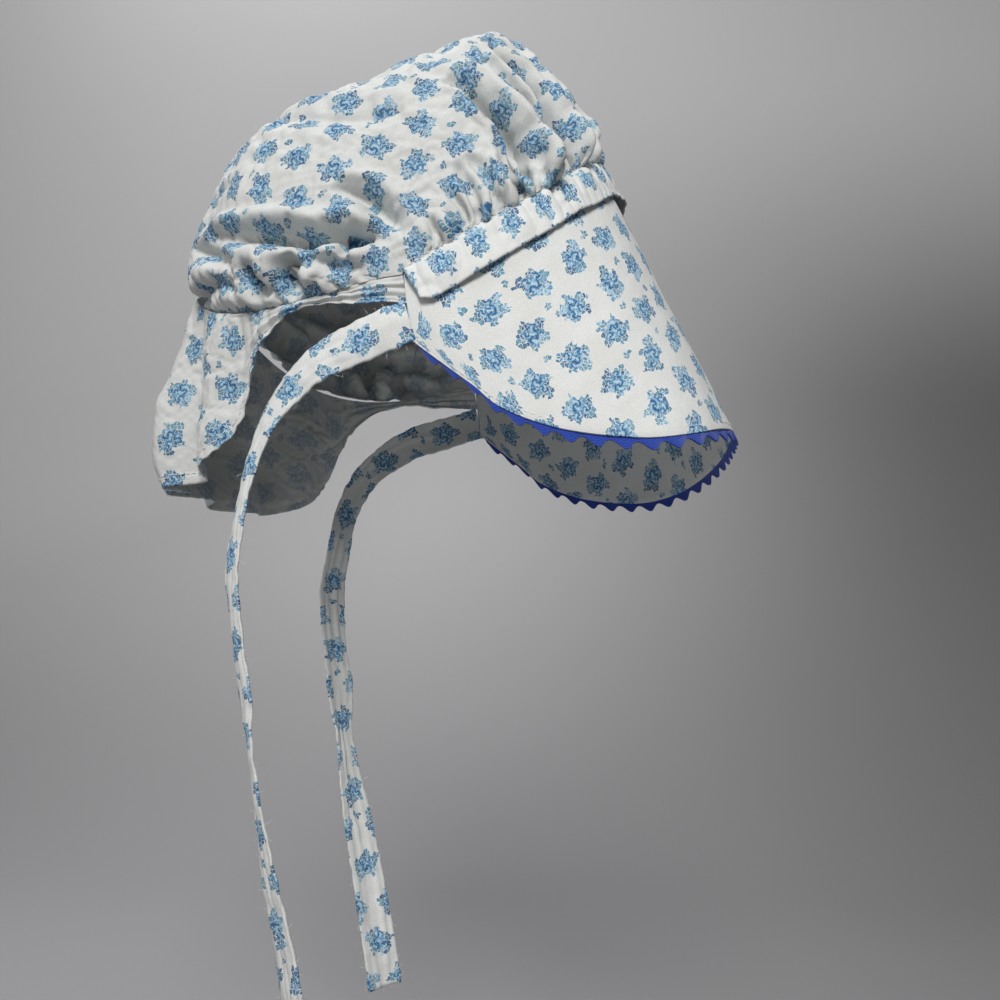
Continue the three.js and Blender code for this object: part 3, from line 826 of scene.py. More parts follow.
def crown_gathers(base, share, to_seam, to_nape):
    """How far the gathers push the crown in or out, in metres."""
    height = np.sin(np.pi * share)
    run = mix(0.35, 1, ease(height, 0.1, 0.8))
    top = ease(height, 0.45, 0.95)
    inside = ease(np.minimum(to_seam, to_nape), 0.002, 0.02)
    bent = share + 0.011 * inside * uneven(base, 0.028, 23)
    luck = 0.75 + 0.45 * uneven(base, 0.022, 24)
    fine = FINE_GATHER * seam_pleats(share) * np.exp(-to_seam / (FINE_RUN * run))
    middle = mix(*MIDDLE_GATHER, top) * pleats(bent, GATHER_COUNT, 1.2, 1) * luck
    middle = middle * swell(to_seam / run, *MIDDLE_RUN)
    broad = mix(*BROAD_GATHER, top) * pleats(bent, GATHER_COUNT / 2, 1.5, 2)
    broad = broad * swell(to_seam / run, *BROAD_RUN)
    broad = broad - TOP_DIP * swell(to_seam, *TOP_DIP_RUN) * ease(height, 0.8, 1)
    nape_fine = NAPE_FINE_GATHER * nape_pleats(share) * np.exp(-to_nape / NAPE_FINE_RUN)
    nape = NAPE_GATHER * pleats(bent, NAPE_GATHER_COUNT, 1.5, 4) * swell(to_nape, *NAPE_RUN) * luck
    drawn_in = -NAPE_DRAWN_IN * np.exp(-((to_nape / NAPE_DRAWN_RUN) ** 2))
    drawn_in = drawn_in * ease(height, 0.45, 0.75)
    return (fine + middle + broad + nape_fine + nape + drawn_in) * from_ears_on(share)


# %% Folds
# points as (share, down), width, height
CROWN_FOLDS = [
    (
        [(0.30, 0.85), (0.205, 0.82), (0.138, 0.787), (0.098, 0.77), (0.055, 0.663), (0.03, 0.43)],
        0.0055,
        -0.0120,
    ),
    ([(0.060, 0.80), (0.05, 0.60)], 0.0045, -0.0050),
    ([(0.12, 0.87), (0.068, 0.843), (0.03, 0.867)], 0.0042, -0.0055),
    ([(0.125, 0.60), (0.10, 0.517), (0.062, 0.437), (0.032, 0.33)], 0.0050, -0.0070),
    ([(0.242, 0.32), (0.238, 0.20), (0.228, 0.12), (0.222, 0.02)], 0.0055, 0.0065),
    ([(0.218, 0.30), (0.206, 0.18), (0.200, 0.05)], 0.0045, -0.0090),
    ([(0.41, 0.22), (0.357, 0.097), (0.335, 0.0)], 0.0046, -0.0150),
    ([(0.46, 0.18), (0.41, 0.08), (0.39, 0.0)], 0.0040, -0.0095),
    ([(0.305, 0.24), (0.292, 0.093), (0.290, 0.0)], 0.0042, -0.0130),
    ([(0.285, 0.25), (0.262, 0.10), (0.258, 0.02)], 0.0040, -0.0090),
    ([(0.133, 0.17), (0.135, 0.08), (0.137, 0.02)], 0.0042, -0.0060),
    ([(0.120, 0.18), (0.108, 0.10), (0.102, 0.02)], 0.0038, -0.0050),
    ([(0.092, 0.16), (0.080, 0.02)], 0.0036, -0.0045),
    ([(0.182, 0.15), (0.173, 0.02)], 0.0040, -0.0050),
    ([(0.345, 0.90), (0.253, 0.87), (0.19, 0.885)], 0.0058, -0.0065),
    ([(0.120, 0.99), (0.112, 0.84)], 0.0058, -0.0105),
    ([(0.175, 0.88), (0.145, 0.97)], 0.0046, -0.0075),
    ([(0.31, 0.64), (0.24, 0.52), (0.19, 0.37)], 0.0085, -0.0040),
    ([(0.42, 0.52), (0.33, 0.33)], 0.0080, -0.0035),
    ([(0.47, 0.88), (0.41, 0.68)], 0.0075, -0.0060),
    ([(0.385, 0.96), (0.36, 0.80)], 0.0055, -0.0055),
]
OTHER_SIDE_SHIFT = 0.012
OTHER_SIDE_HEIGHT = 0.85
FOLD_STEPS = 4
AT_SEAM = 0.09
SEAM_FOLD_TURN = 0.55
LIP_HEIGHT = 0.4
LIP_AWAY = 1.9


def nearest_on_line(places, line):
    """The shortest distance from each place to a line, and how far along the line that is."""
    best = np.full(places.shape[:-1], np.inf)
    along = np.zeros(places.shape[:-1])
    for i, (start, end) in enumerate(zip(line[:-1], line[1:])):
        way = end - start
        t = np.clip(((places - start) @ way) / (way @ way), 0, 1)
        away = np.linalg.norm(places - (start + t[..., None] * way), axis=-1)
        along = np.where(away < best, (i + t) / (len(line) - 1), along)
        best = np.minimum(best, away)
    return best, along


def fold_line(points, other_side):
    """A fold's line over the smooth crown, on the wearer's right or mirrored to the left."""
    steps = np.linspace(0, len(points) - 1, FOLD_STEPS * (len(points) - 1) + 1)
    share = np.interp(steps, range(len(points)), [p[0] for p in points])
    down = np.interp(steps, range(len(points)), [p[1] for p in points])
    share = 1 - share - OTHER_SIDE_SHIFT if other_side else share
    return crown_arch(share, down)


def each_fold(base):
    """Every fold on both sides, with the distance and the strength that it has at each place."""
    for other_side in (False, True):
        for points, width, height in CROWN_FOLDS:
            away, along = nearest_on_line(base, fold_line(points, other_side))
            from_seam = points[-1][1] < AT_SEAM
            turn = SEAM_FOLD_TURN if from_seam else 1
            strength = np.sin(np.pi * along * turn) ** 0.7
            yield other_side, from_seam, width, height, away, strength


def crown_folds(base):
    """How far the larger folds push the crown in or out, in metres."""
    total = np.zeros(base.shape[:-1])
    for other_side, _, width, height, away, strength in each_fold(base):
        side = OTHER_SIDE_HEIGHT if other_side else 1
        away = away / (width * (0.6 + 0.4 * strength))
        lip = LIP_HEIGHT * np.exp(-((away - LIP_AWAY) ** 2) * 1.2)
        total += side * strength * height * (np.exp(-(away**1.7)) - lip)
    return total


# %% [markdown]
# ## Letting cloth settle
# Drawn folds alone look tidy. Real cotton also crumples, because there is always a little more
# cloth than the form needs. Blender's cloth simulation gives this: the cloth is told to be a few
# per cent larger than its drawn shape, its edges are held, and every other point is held softly.
# It then buckles into small creases of its own. The last step is kept as plain points, and no point
# may stray further than a few millimetres. Afterwards the crumpled cloth is unfolded flat again.
# That gives the UV map its true lengths, so the print is squeezed in the gathers and keeps its
# scale everywhere else.

# %% Settle, refine and unfold
SETTLE_FRAMES = 20
FARTHEST_SETTLE = 0.007
PLAIN_COTTON = {
    "quality": 6,
    "mass": 0.15,
    "tension_stiffness": 15,
    "compression_stiffness": 15,
    "shear_stiffness": 5,
    "vertex_group_mass": "held",
    "pin_stiffness": 1,
}


def mesh_points(mesh, shape):
    """The places of a mesh's points, in the shape of a grid."""
    values = np.zeros(len(mesh.vertices) * 3, np.float32)
    mesh.vertices.foreach_get("co", values)
    return values.astype(float).reshape(shape)


def settle(grid, held, surplus, stiffness, weight):
    """Lets a grid of cloth crumple. Held says how firmly each point stays, from 0 to 1. Surplus is
    the share of extra cloth, and weight the share of gravity."""
    flat = np.zeros(grid.shape[:2])
    piece = cloth_mesh("settling", grid, flat, flat)
    group = piece.vertex_groups.new(name="held")
    for value in np.unique(held):
        group.add(np.nonzero(held.ravel() == value)[0].tolist(), float(value), "REPLACE")
    cloth = piece.modifiers.new("cloth", "CLOTH")
    for setting, value in PLAIN_COTTON.items():
        setattr(cloth.settings, setting, value)
    cloth.settings.bending_stiffness = stiffness
    cloth.settings.shrink_min = -surplus
    cloth.settings.effector_weights.gravity = weight
    cloth.collision_settings.use_self_collision = False
    cloth.point_cache.frame_start = 1
    cloth.point_cache.frame_end = SETTLE_FRAMES
    for frame_number in range(1, SETTLE_FRAMES + 1):
        scene.frame_set(frame_number)
    evaluated = piece.evaluated_get(bpy.context.evaluated_depsgraph_get())
    moved = mesh_points(bpy.data.meshes.new_from_object(evaluated), grid.shape) - grid
    bpy.data.objects.remove(piece)
    scene.frame_set(1)
    far = np.linalg.norm(moved, axis=-1, keepdims=True)
    print(f"settled: {far.mean() * 1000:.1f} mm on average, {far.max() * 1000:.1f} mm at most")
    return grid + moved * np.minimum(1, FARTHEST_SETTLE / np.maximum(far, 1e-9))


def refine(grid):
    """The same surface with twice as many steps both ways, along smooth curves."""
    for axis in (0, 1):
        grid = np.moveaxis(grid, axis, 0)
        slope = np.gradient(grid, axis=0)
        half = (grid[:-1] + grid[1:]) / 2 + (slope[:-1] - slope[1:]) / 8
        finer = np.empty((2 * len(grid) - 1,) + grid.shape[1:])
        finer[::2] = grid
        finer[1::2] = half
        grid = np.moveaxis(finer, 0, axis)
    return grid


def unfold(grid):
    """Across and along sizes of the flat cloth, from unfolding the grid with little stretch."""
    flat = np.zeros(grid.shape[:2])
    piece = cloth_mesh("unfolding", grid, flat, flat)
    bpy.context.view_layer.objects.active = piece
    piece.select_set(True)
    bpy.ops.object.mode_set(mode="EDIT")
    bpy.ops.mesh.select_all(action="SELECT")
    bpy.ops.uv.unwrap(method="MINIMUM_STRETCH", iterations=10, margin=0)
    bpy.ops.object.mode_set(mode="OBJECT")
    mesh = piece.data
    loops = np.zeros(len(mesh.loops) * 2, np.float32)
    mesh.uv_layers["cloth"].data.foreach_get("uv", loops)
    corners = np.zeros(len(mesh.loops), np.int32)
    mesh.loops.foreach_get("vertex_index", corners)
    places = np.zeros((len(mesh.vertices), 2))
    places[corners] = loops.reshape(-1, 2)
    x, y = loops.reshape(-1, 4, 2)[..., 0], loops.reshape(-1, 4, 2)[..., 1]
    flat_area = abs(np.sum(x * np.roll(y, -1, axis=1) - np.roll(x, -1, axis=1) * y)) / 2
    real_area = sum(face.area for face in mesh.polygons)
    places = places.reshape(grid.shape[:2] + (2,)) * math.sqrt(real_area / flat_area)
    size = places.max(axis=(0, 1)) - places.min(axis=(0, 1))
    print(f"unfolded: {size[0]:.3f} by {size[1]:.3f} m, {real_area:.4f} square metres")
    bpy.data.objects.remove(piece)
    return places[..., 0], places[..., 1]


def crumpled(grid, held, surplus, stiffness, weight):
    """A grid of cloth after it has settled: finer points, and their places on the flat cloth."""
    grid = settle(grid, held, surplus, stiffness, weight)
    across, along = unfold(grid)
    fine = refine(np.dstack([grid, across, along]))
    return fine[..., :3], fine[..., 3], fine[..., 4]


# %% Crown
CROWN_COLUMNS = 172
CROWN_ROWS = 70
ROW_EASE = 0.2
SOFTLY_HELD = 0.42
SUNK = 0.0065
DENT = 0.0014
SMALL_DENT = 0.0005
EAR_FORWARD = 0.003
TUCK = 0.005
CREASE = 0.38
SEAM_CREASE = 0.52
CREASE_WIDTH = 0.0026
SEAM_PLEAT = (0.0016, 0.0024)
NAPE_PLEAT = 0.0011
NAPE_PLEAT_RUN = 0.011
SLIT_WIDTH = 0.0013
SLIT_LIP = 0.35

# count, longest, deepest, seed
SEAM_SLITS = (80, 0.030, 0.0050, 31)
NAPE_SLITS = (40, 0.020, 0.0022, 32)


def slits(share, run, count, longest, deepest, seed):
    """Short sharp creases that start at a drawn thread and lean a little."""
    luck = np.random.default_rng(seed)
    total = np.zeros(share.shape)
    for i in range(count):
        middle = (i + luck.uniform(0.15, 0.85)) / count
        length = longest * luck.uniform(0.35, 1)
        lean = luck.normal(0, 0.25)
        away = (share - middle) * SEAM_ARC - lean * run
        fade = 1 - ease(run, 0.35 * length, length)
        depth = deepest * luck.uniform(0.25, 1) * ease(run, 0.0003, 0.003) * fade
        lip = SLIT_LIP * np.exp(-((np.abs(away) / SLIT_WIDTH - 2) ** 2))
        total = total - depth * (np.exp(-((away / SLIT_WIDTH) ** 2)) - lip)
    return total


def on_stitches(share):
    """The line of gathering stitches, on the face of the brim."""
    brim_share = mix(CHEEK_SHARE, 1 - CHEEK_SHARE, share)
    out = np.zeros_like(brim_share)
    ahead = brim_point(brim_share, out + 0.05) - brim_point(brim_share, out)
    beside = np.gradient(brim_point(brim_share, out), axis=1)
    upward = unit(np.cross(ahead, beside))
    return brim_point(brim_share, out) + upward * (BRIM_THICKNESS / 2 + CLOTH_THICKNESS)


def crown_places(columns, rows):
    """Places on the smooth crown, and how far they lie from the seam and the nape's thread."""
    share, row = grid_shares(columns, rows)
    down = row - ROW_EASE * np.sin(2 * np.pi * row) / (2 * np.pi)
    base = crown_arch(share, down)
    to_seam = np.linalg.norm(base - crown_arch(share, np.zeros_like(down)), axis=-1)
    to_nape = np.linalg.norm(base - crown_arch(share, nape_line(share)), axis=-1)
    return share, row, base, to_seam, to_nape


def crown_grid(columns, rows):
    """The gathered crown as a grid of points."""
    share, row, base, to_seam, to_nape = crown_places(columns, rows)
    near_ear = from_ears_on(share)
    out = crown_gathers(base, share, to_seam, to_nape) + crown_folds(base) * near_ear
    away = ease(np.minimum(to_seam, to_nape), 0.004, 0.03)
    dents = DENT * uneven(base, 0.045, 1) + SMALL_DENT * uneven(base, 0.018, 2)
    grid = raised(base, out + (dents - SUNK) * away * near_ear)
    grid[..., 0] += EAR_FORWARD * (1 - ease(np.minimum(share, 1 - share), 0, 0.012))
    tuck = np.exp(-((to_seam / TUCK) ** 2))[..., None]
    return mix(grid, on_stitches(share), tuck * (row < 0.3)[..., None])


def crown_creases(columns, rows):
    """The narrowest pleats and the sharp bottoms of the folds, in metres."""
    share, _, base, to_seam, to_nape = crown_places(columns, rows)
    height = np.sin(np.pi * share)
    at_side = 1 - ease(height, 0.6, 0.9)
    reach = 0.012 + 0.014 * uneven(base[:1], 0.02, 21) ** 2
    bent = share + 0.004 * ease(to_seam, 0.003, 0.02) * uneven(base, 0.02, 25)
    total = mix(*SEAM_PLEAT, at_side) * seam_pleats(bent) * np.exp(-to_seam / reach)
    total = total * ease(to_seam, 0.001, 0.004)
    bent = share + 0.006 * ease(to_nape, 0.002, 0.015) * uneven(base, 0.02, 26)
    nape = NAPE_PLEAT * nape_pleats(bent) * np.exp(-to_nape / NAPE_PLEAT_RUN)
    total = total + nape * ease(to_nape, 0.001, 0.004) * ease(height, 0.3, 0.5)
    total = total + mix(0.6, 1, at_side) * slits(share, to_seam, *SEAM_SLITS)
    total = total + slits(share, to_nape, *NAPE_SLITS)
    for _, from_seam, _, fold_height, away, strength in each_fold(base):
        if fold_height < 0:
            deep = (SEAM_CREASE if from_seam else CREASE) * fold_height * strength
            total = total + deep * np.exp(-((away / CREASE_WIDTH) ** 2))
    return total * from_ears_on(share)


points = crown_grid(CROWN_COLUMNS, CROWN_ROWS)
held = np.full(points.shape[:2], SOFTLY_HELD)
held[:2] = 1
held[-2:] = 1
held[:, :3] = 1
held[:, -3:] = 1
points, across, along = crumpled(points, held, surplus=0.04, stiffness=4.0, weight=0.5)
points = raised(points, crown_creases(2 * CROWN_COLUMNS, 2 * CROWN_ROWS))
crown = cloth_mesh("crown_cloth", points, across, along)
finish_cloth(crown, CLOTH_THICKNESS, "crown", COTTON_SINGLE, COTTON_BACK)

# %% [markdown]
# ## Standing frill
# Beyond the gathering stitches the crown's cloth runs on for two centimetres and lies over the brim
# as a little frill. It keeps the pleats of the gathers at the stitches and opens out to its free
# edge, which stands just off the brim and casts a thin shadow.

# %% Standing frill
FRILL_DEPTH = 0.0212
FRILL_AT_EAR = 0.85
FRILL_FULLNESS = 1.3
FRILL_WAVE = 0.0013
FRILL_RIPPLE = 0.0016
FRILL_CREASE = 0.0010
FRILL_STAND = 0.0015
FRILL_PEAK = 0.0035
FRILL_PEAK_SHARE = 0.49
FRILL_COLUMNS = 364
FRILL_ROWS = 18


def frill_grid(columns, rows):
    """The standing frill as a grid over the brim, with the flat sizes of its cloth."""
    share, out = grid_shares(columns, rows)
    brim_share = mix(CHEEK_SHARE, 1 - CHEEK_SHARE, share)
    brim_depth = np.linalg.norm(rim(brim_share) - brim_back(brim_share), axis=-1)
    start = on_stitches(share)
    depth = FRILL_DEPTH * np.minimum(FRILL_AT_EAR + 3 * np.sin(np.pi * share), 1)
    depth = depth * (1 + 0.06 * uneven(start, 0.03, 9))
    base = brim_point(brim_share, depth * out / brim_depth)
    upward = unit(start - brim_point(brim_share, np.zeros_like(out)))
    pleat = seam_pleats(share + 0.002 * uneven(base, 0.012, 3))
    wave = FRILL_WAVE * pleat * ease(out, 0, 0.12) * (1 - 0.65 * ease(out, 0.2, 0.8))
    ripple = FRILL_RIPPLE * ease(out, 0.15, 1) * uneven(base, 0.024, 7)
    crease = FRILL_CREASE * ease(out, 0.2, 0.6) * np.abs(uneven(base, 0.011, 17)) ** 0.7
    stand = FRILL_STAND * ease(out, 0.0, 0.2) * (1 - 0.4 * ease(out, 0.3, 1.0))
    peak = np.exp(-(((share - FRILL_PEAK_SHARE) / 0.035) ** 2))
    stand = stand + FRILL_PEAK * ease(out, 0.2, 1.0) * peak
    lift = BRIM_THICKNESS / 2 + CLOTH_THICKNESS + stand + wave + ripple + crease
    across = lengths_along(base, 1) * FRILL_FULLNESS
    return base + upward * lift[..., None], across - across[:, -1:] / 2, depth * out


points, across, along = frill_grid(FRILL_COLUMNS, FRILL_ROWS)
along = along + FRILL_CUT_FROM
frill = cloth_mesh("crown_frill_cloth", points[::-1], across[::-1], along[::-1])
finish_cloth(frill, CLOTH_THICKNESS, "crown_frill", COTTON, COTTON_BACK)

# %% [markdown]
# ## Neck frill
# The neck frill hangs from the nape and keeps the sun off the neck. It is deepest in the middle of
# the back and dies out beside the ears. A table of depths along the nape is its cutting pattern.
# It settles in the same way as the crown, but only its sewn edge and its narrow ends are held
# firmly, so its hem can swing a little.

# %% Neck frill
NECK_FRILL_DEPTH = 0.108
NECK_FRILL_WAVE = 0.008
NECK_FRILL_FOLDS = 9
NECK_FRILL_PLEAT = 0.0012
NECK_FRILL_PLEAT_RUN = (0, 0.003, 0.025)
NARROW_STRIP = 0.014
STRIP_RIPPLE = 0.0022
NECK_FRILL_DENT = 0.0011
NECK_SOFTLY_HELD = 0.4
HELD_DEPTH = 0.16
BELLY_TURN = 2.7
BELLY_LATENESS = 1.5
HEM = 0.005
HEM_STEP = 0.0006
HEM_SLOPE = 0.0008

# share, depth, lean
NECK_FRILL_CUT = [
    (0.00, 0.12, 0.00),
    (0.05, 0.075, 0.00),
    (0.09, 0.035, 0.00),
    (0.13, 0.045, 0.00),
    (0.16, 0.09, 0.00),
    (0.19, 0.23, -0.04),
    (0.22, 0.49, -0.05),
    (0.26, 0.67, -0.02),
    (0.31, 0.80, 0.06),
    (0.37, 0.91, 0.14),
    (0.43, 0.975, 0.17),
    (0.50, 1.00, 0.18),
    (0.57, 0.97, 0.16),
    (0.63, 0.91, 0.12),
    (0.69, 0.80, 0.05),
    (0.74, 0.66, -0.02),
    (0.78, 0.48, -0.05),
    (0.81, 0.22, -0.04),
    (0.84, 0.09, 0.00),
    (0.87, 0.045, 0.00),
    (0.91, 0.035, 0.00),
    (0.95, 0.075, 0.00),
    (1.00, 0.12, 0.00),
]
NECK_COLUMNS = 182
NECK_ROWS = 36


def nape_points(share):
    """The crown's lower edge, where the neck frill is sewn on."""
    return crown_arch(share, np.ones_like(share))


def neck_frill_grid(columns, rows):
    """The neck frill as a grid of points."""
    share, down = grid_shares(columns, rows)
    top = nape_points(share)
    outward = unit(top * np.array([1, 1, 0]) + np.array([EAR_BEHIND_ORIGIN, 0, 0]))
    depth = smooth(NECK_FRILL_CUT, 1, share) * NECK_FRILL_DEPTH
    lean = smooth(NECK_FRILL_CUT, 2, share) * depth
    drop = depth * down
    fold = np.sin(2 * np.pi * NECK_FRILL_FOLDS * share + 0.6 * np.sin(2 * np.pi * 3.1 * share))
    height = NECK_FRILL_WAVE * (depth / NECK_FRILL_DEPTH) * np.sqrt(down)
    fine = NECK_FRILL_PLEAT * nape_pleats(share) * swell(drop, *NECK_FRILL_PLEAT_RUN)
    ripple = STRIP_RIPPLE * uneven(top, 0.012, 14) * ease(down, 0.1, 0.7)
    fine = fine + ripple * (depth < NARROW_STRIP)
    dents = NECK_FRILL_DENT * uneven(top - 0.1 * down[..., None], 0.03, 12) * ease(down, 0, 0.3)
    belly = lean * np.sin(BELLY_TURN * down**BELLY_LATENESS) + fold * height + fine + dents
    grid = top + outward * belly[..., None] - np.stack([0 * drop, 0 * drop, drop], axis=-1)
    side = np.where(share < 0.5, -1.0, 1.0)
    at_ear = 1 - ease(np.minimum(share, 1 - share), 0, 0.04)
    forward = at_ear * (0.003 + CHEEK_FORWARD * drop)
    return grid + np.stack([forward, -side * at_ear * 0.0006, 0 * drop], axis=-1)


points = neck_frill_grid(NECK_COLUMNS, NECK_ROWS)
held = np.full(points.shape[:2], NECK_SOFTLY_HELD)
held[:1] = 1
cut = smooth(NECK_FRILL_CUT, 1, np.linspace(0, 1, NECK_COLUMNS + 1))
held[:, cut < HELD_DEPTH] = 1
points, across, along = crumpled(points, held, surplus=0.03, stiffness=2.0, weight=0.6)
from_hem = lengths_along(points[::-1], 0)[::-1]
turned_hem = HEM_STEP * (1 - ease(from_hem, HEM - HEM_SLOPE, HEM + HEM_SLOPE))
hemmed = raised(points, turned_hem * ease(from_hem[0], 0.012, 0.02))
neck_frill = cloth_mesh("neck_frill_cloth", hemmed, across + NECK_FRILL_CUT_FROM, along)
finish_cloth(neck_frill, CLOTH_THICKNESS, "neck_frill", COTTON_SINGLE, COTTON_BACK)

# %% [markdown]
# ## Ties
# Each tie is a long strip, folded lengthwise, and sewn to its cheek seam. Its course is a table of
# places, with the tie's width and the turn of its face at each. Long creases run down it, because
# it was pressed flat and then tied many times.

# %% Ties
TIE_WIDTH = 0.022
TIE_DROP = 0.323
TIE_BACK = 0.085
TIE_ON_CHEEK_SEAM = 0.72
TIE_TUCK = 0.0006
TIE_OUTWARD = 0.0009
TIE_THICKNESS = 0.0011
TIE_CURL = 0.0016
TIE_ROLL = 0.0009
TIE_GRAIN = 0.0004
TIE_FRAY = 0.0005

# row, inward, back, down, wide, face
TIE_LINE = [
    (0, 0.00, 0.000, 0.000, 0.86, 0),
    (1, 0.01, 0.165, 0.014, 0.88, 4),
    (2, 0.04, 0.312, 0.027, 0.88, 12),
    (3, 0.08, 0.465, 0.041, 0.84, 22),
    (4, 0.12, 0.630, 0.069, 0.78, 34),
    (5, 0.17, 0.796, 0.112, 0.72, 44),
    (6, 0.20, 0.912, 0.176, 0.70, 50),
    (7, 0.22, 0.961, 0.244, 0.72, 54),
    (8, 0.23, 1.000, 0.326, 0.78, 52),
    (9, 0.24, 0.969, 0.423, 0.74, 56),
    (10, 0.25, 0.916, 0.505, 0.80, 54),
    (11, 0.26, 0.870, 0.585, 0.66, 68),
    (12, 0.27, 0.807, 0.678, 0.78, 60),
    (13, 0.28, 0.734, 0.768, 0.84, 48),
    (14, 0.30, 0.630, 0.894, 0.88, 44),
    (15, 0.32, 0.547, 1.000, 0.92, 44),
]
TIE_COLUMNS = 20
TIE_ROWS = 280

# middle as a share of the width, drift, width, depth
TIE_CREASES = [
    (0.30, 0.10, 0.07, 0.0013),
    (0.62, 0.12, 0.06, 0.0011),
    (0.86, 0.05, 0.05, 0.0007),
]


def tie_grid(side, columns, rows):
    """One tie as a grid, with the flat sizes of its cloth."""
    across_share, down_share = grid_shares(columns, rows)
    row = down_share * (len(TIE_LINE) - 1)
    ear = seam_arch(np.array(0.0 if side < 0 else 1.0))
    sewn_on = mix(ear, cheek_corner(side), TIE_ON_CHEEK_SEAM)
    sewn_on = sewn_on + np.array([0, side * TIE_OUTWARD, 0])
    back = TIE_TUCK - smooth(TIE_LINE, 2, row) * TIE_BACK
    inward = -side * smooth(TIE_LINE, 1, row) * EAR_HALF_WIDTH
    down = -smooth(TIE_LINE, 3, row) * TIE_DROP
    line = sewn_on + np.stack([back, inward, down], axis=-1)
    tangent = unit(np.gradient(line, axis=0))
    face = np.radians(smooth(TIE_LINE, 5, row))
    normal = np.stack([-np.sin(face), side * np.cos(face), 0 * face], axis=-1)
    width_ways = unit(np.cross(normal, tangent))
    width = smooth(TIE_LINE, 4, row) * TIE_WIDTH
    beside = (across_share - 0.5) * width
    curl = TIE_CURL * (1 - (2 * across_share - 1) ** 2)
    curl = curl + TIE_ROLL * uneven(line, 0.03, 8 + side)
    for i, (middle, drift, spread, depth) in enumerate(TIE_CREASES):
        place = middle + drift * uneven(line, 0.05, 20 + 3 * i + side)
        strength = depth * (0.6 + 0.7 * uneven(line, 0.04, 40 + i + side))
        strength = strength * ease(down_share, 0.02, 0.35)
        curl = curl - strength * np.exp(-(((across_share - place) / spread) ** 2))
    curl = curl + TIE_GRAIN * uneven(line + width_ways * beside[..., None], 0.007, 31 + side)
    edge = TIE_FRAY * (2 * across_share - 1) ** 9 * uneven(line, 0.004, 50 + side)
    grid = line + width_ways * (beside + edge)[..., None] + normal * curl[..., None]
    return grid, beside, lengths_along(line, 0)


def make_tie(name, node, side):
    """One tie, at side -1 for the wearer's right and 1 for the left."""
    points, across, along = tie_grid(side, TIE_COLUMNS, TIE_ROWS)
    tie = cloth_mesh(name, points, across + TIE_CUT_BESIDE * side, along + TIES_CUT_FROM)
    finish_cloth(tie, TIE_THICKNESS, node, COTTON, COTTON)


make_tie("tie_right_cloth", "tie_right", -1)
make_tie("tie_left_cloth", "tie_left", 1)

# %% [markdown]
# ## Rickrack
# Rickrack is a flat braid that was woven to run in a zigzag. It is caught between the two layers of
# the brim, so that only one row of its points shows, like small blue teeth. Geometry Nodes suit it:
# a flat strip is laid along the rim, and a wave moves each of its points outwards or back. The
# number of teeth, their reach and the width of the braid are inputs, so another braid needs no new
# drawing.

# %% Lines that carry repeats


def carrier(name, line, outward, upward):
    """A line of points with the directions that a repeat along it needs."""
    mesh = bpy.data.meshes.new(name)
    mesh.from_pydata([tuple(p) for p in line], [(i, i + 1) for i in range(len(line) - 1)], [])
    for title, vectors in (("outward", outward), ("upward", upward)):
        layer = mesh.attributes.new(title, "FLOAT_VECTOR", "POINT")
        layer.data.foreach_set("vector", np.asarray(vectors, np.float32).ravel())
    made = bpy.data.objects.new(name, mesh)
    scene.collection.objects.link(made)
    return made


def even_line(line, step):
    """Places at an even step along a line, as numbers between its points."""
    lengths = np.concatenate([[0], np.cumsum(np.linalg.norm(np.diff(line, axis=0), axis=1))])
    count = max(2, int(round(lengths[-1] / step)) + 1)
    return np.interp(np.linspace(0, lengths[-1], count), lengths, np.arange(len(line)))


def at_places(values, places):
    """Values of a line at places between its points."""
    numbers = np.arange(len(values))
    return np.stack([np.interp(places, numbers, column) for column in values.T], axis=-1)


def add_tree(piece, tree, **sizes):
    """Gives a piece a node tree as its modifier and sets its inputs by their identifiers."""
    modifier = piece.modifiers.new(tree.name, "NODES")
    modifier.node_group = tree
    for item in tree.interface.items_tree:
        if item.in_out == "INPUT" and item.name in sizes:
            modifier[item.identifier] = sizes[item.name]


def made_solid(piece):
    """Turns the piece's node tree into a plain mesh."""
    evaluated = piece.evaluated_get(bpy.context.evaluated_depsgraph_get())
    mesh = bpy.data.meshes.new_from_object(evaluated)
    piece.modifiers.clear()
    piece.data = mesh
    mesh.name = piece.name
    for face in mesh.polygons:
        face.use_smooth = True


# %% Rickrack tree
STEPS_PER_TOOTH = 14.0
STRIP_POINTS_ACROSS = 6
POINT_SHARPNESS = 1.15
MIDDLE_RIDGE = 0.00012


def new_tree(name, sizes, whole, number):
    """An empty geometry node tree with sizes, one whole number and a material as named inputs."""
    tree = bpy.data.node_groups.new(name, "GeometryNodeTree")
    wanted = [("Geometry", "Geometry", None)]
    wanted += [(title, "Float", value) for title, value in sizes.items()]
    wanted += [(whole, "Int", number), ("Material", "Material", None)]
    for title, kind, value in wanted:
        made = tree.interface.new_socket(title, in_out="INPUT", socket_type="NodeSocket" + kind)
        if value is not None:
            made.default_value = value
    tree.interface.new_socket("Geometry", in_out="OUTPUT", socket_type="NodeSocketGeometry")
    sketch = Sketch(tree)
    return tree, sketch, sketch.node("NodeGroupInput").outputs


def finish_tree(sketch, geometry, given):
    """Every tree ends by making its instances real and setting the material."""
    real = sketch.node("GeometryNodeRealizeInstances", {0: geometry}).outputs[0]
    inputs = {"Geometry": real, "Material": given["Material"]}
    painted = sketch.node("GeometryNodeSetMaterial", inputs).outputs[0]
    sketch.node("NodeGroupOutput", {0: painted})


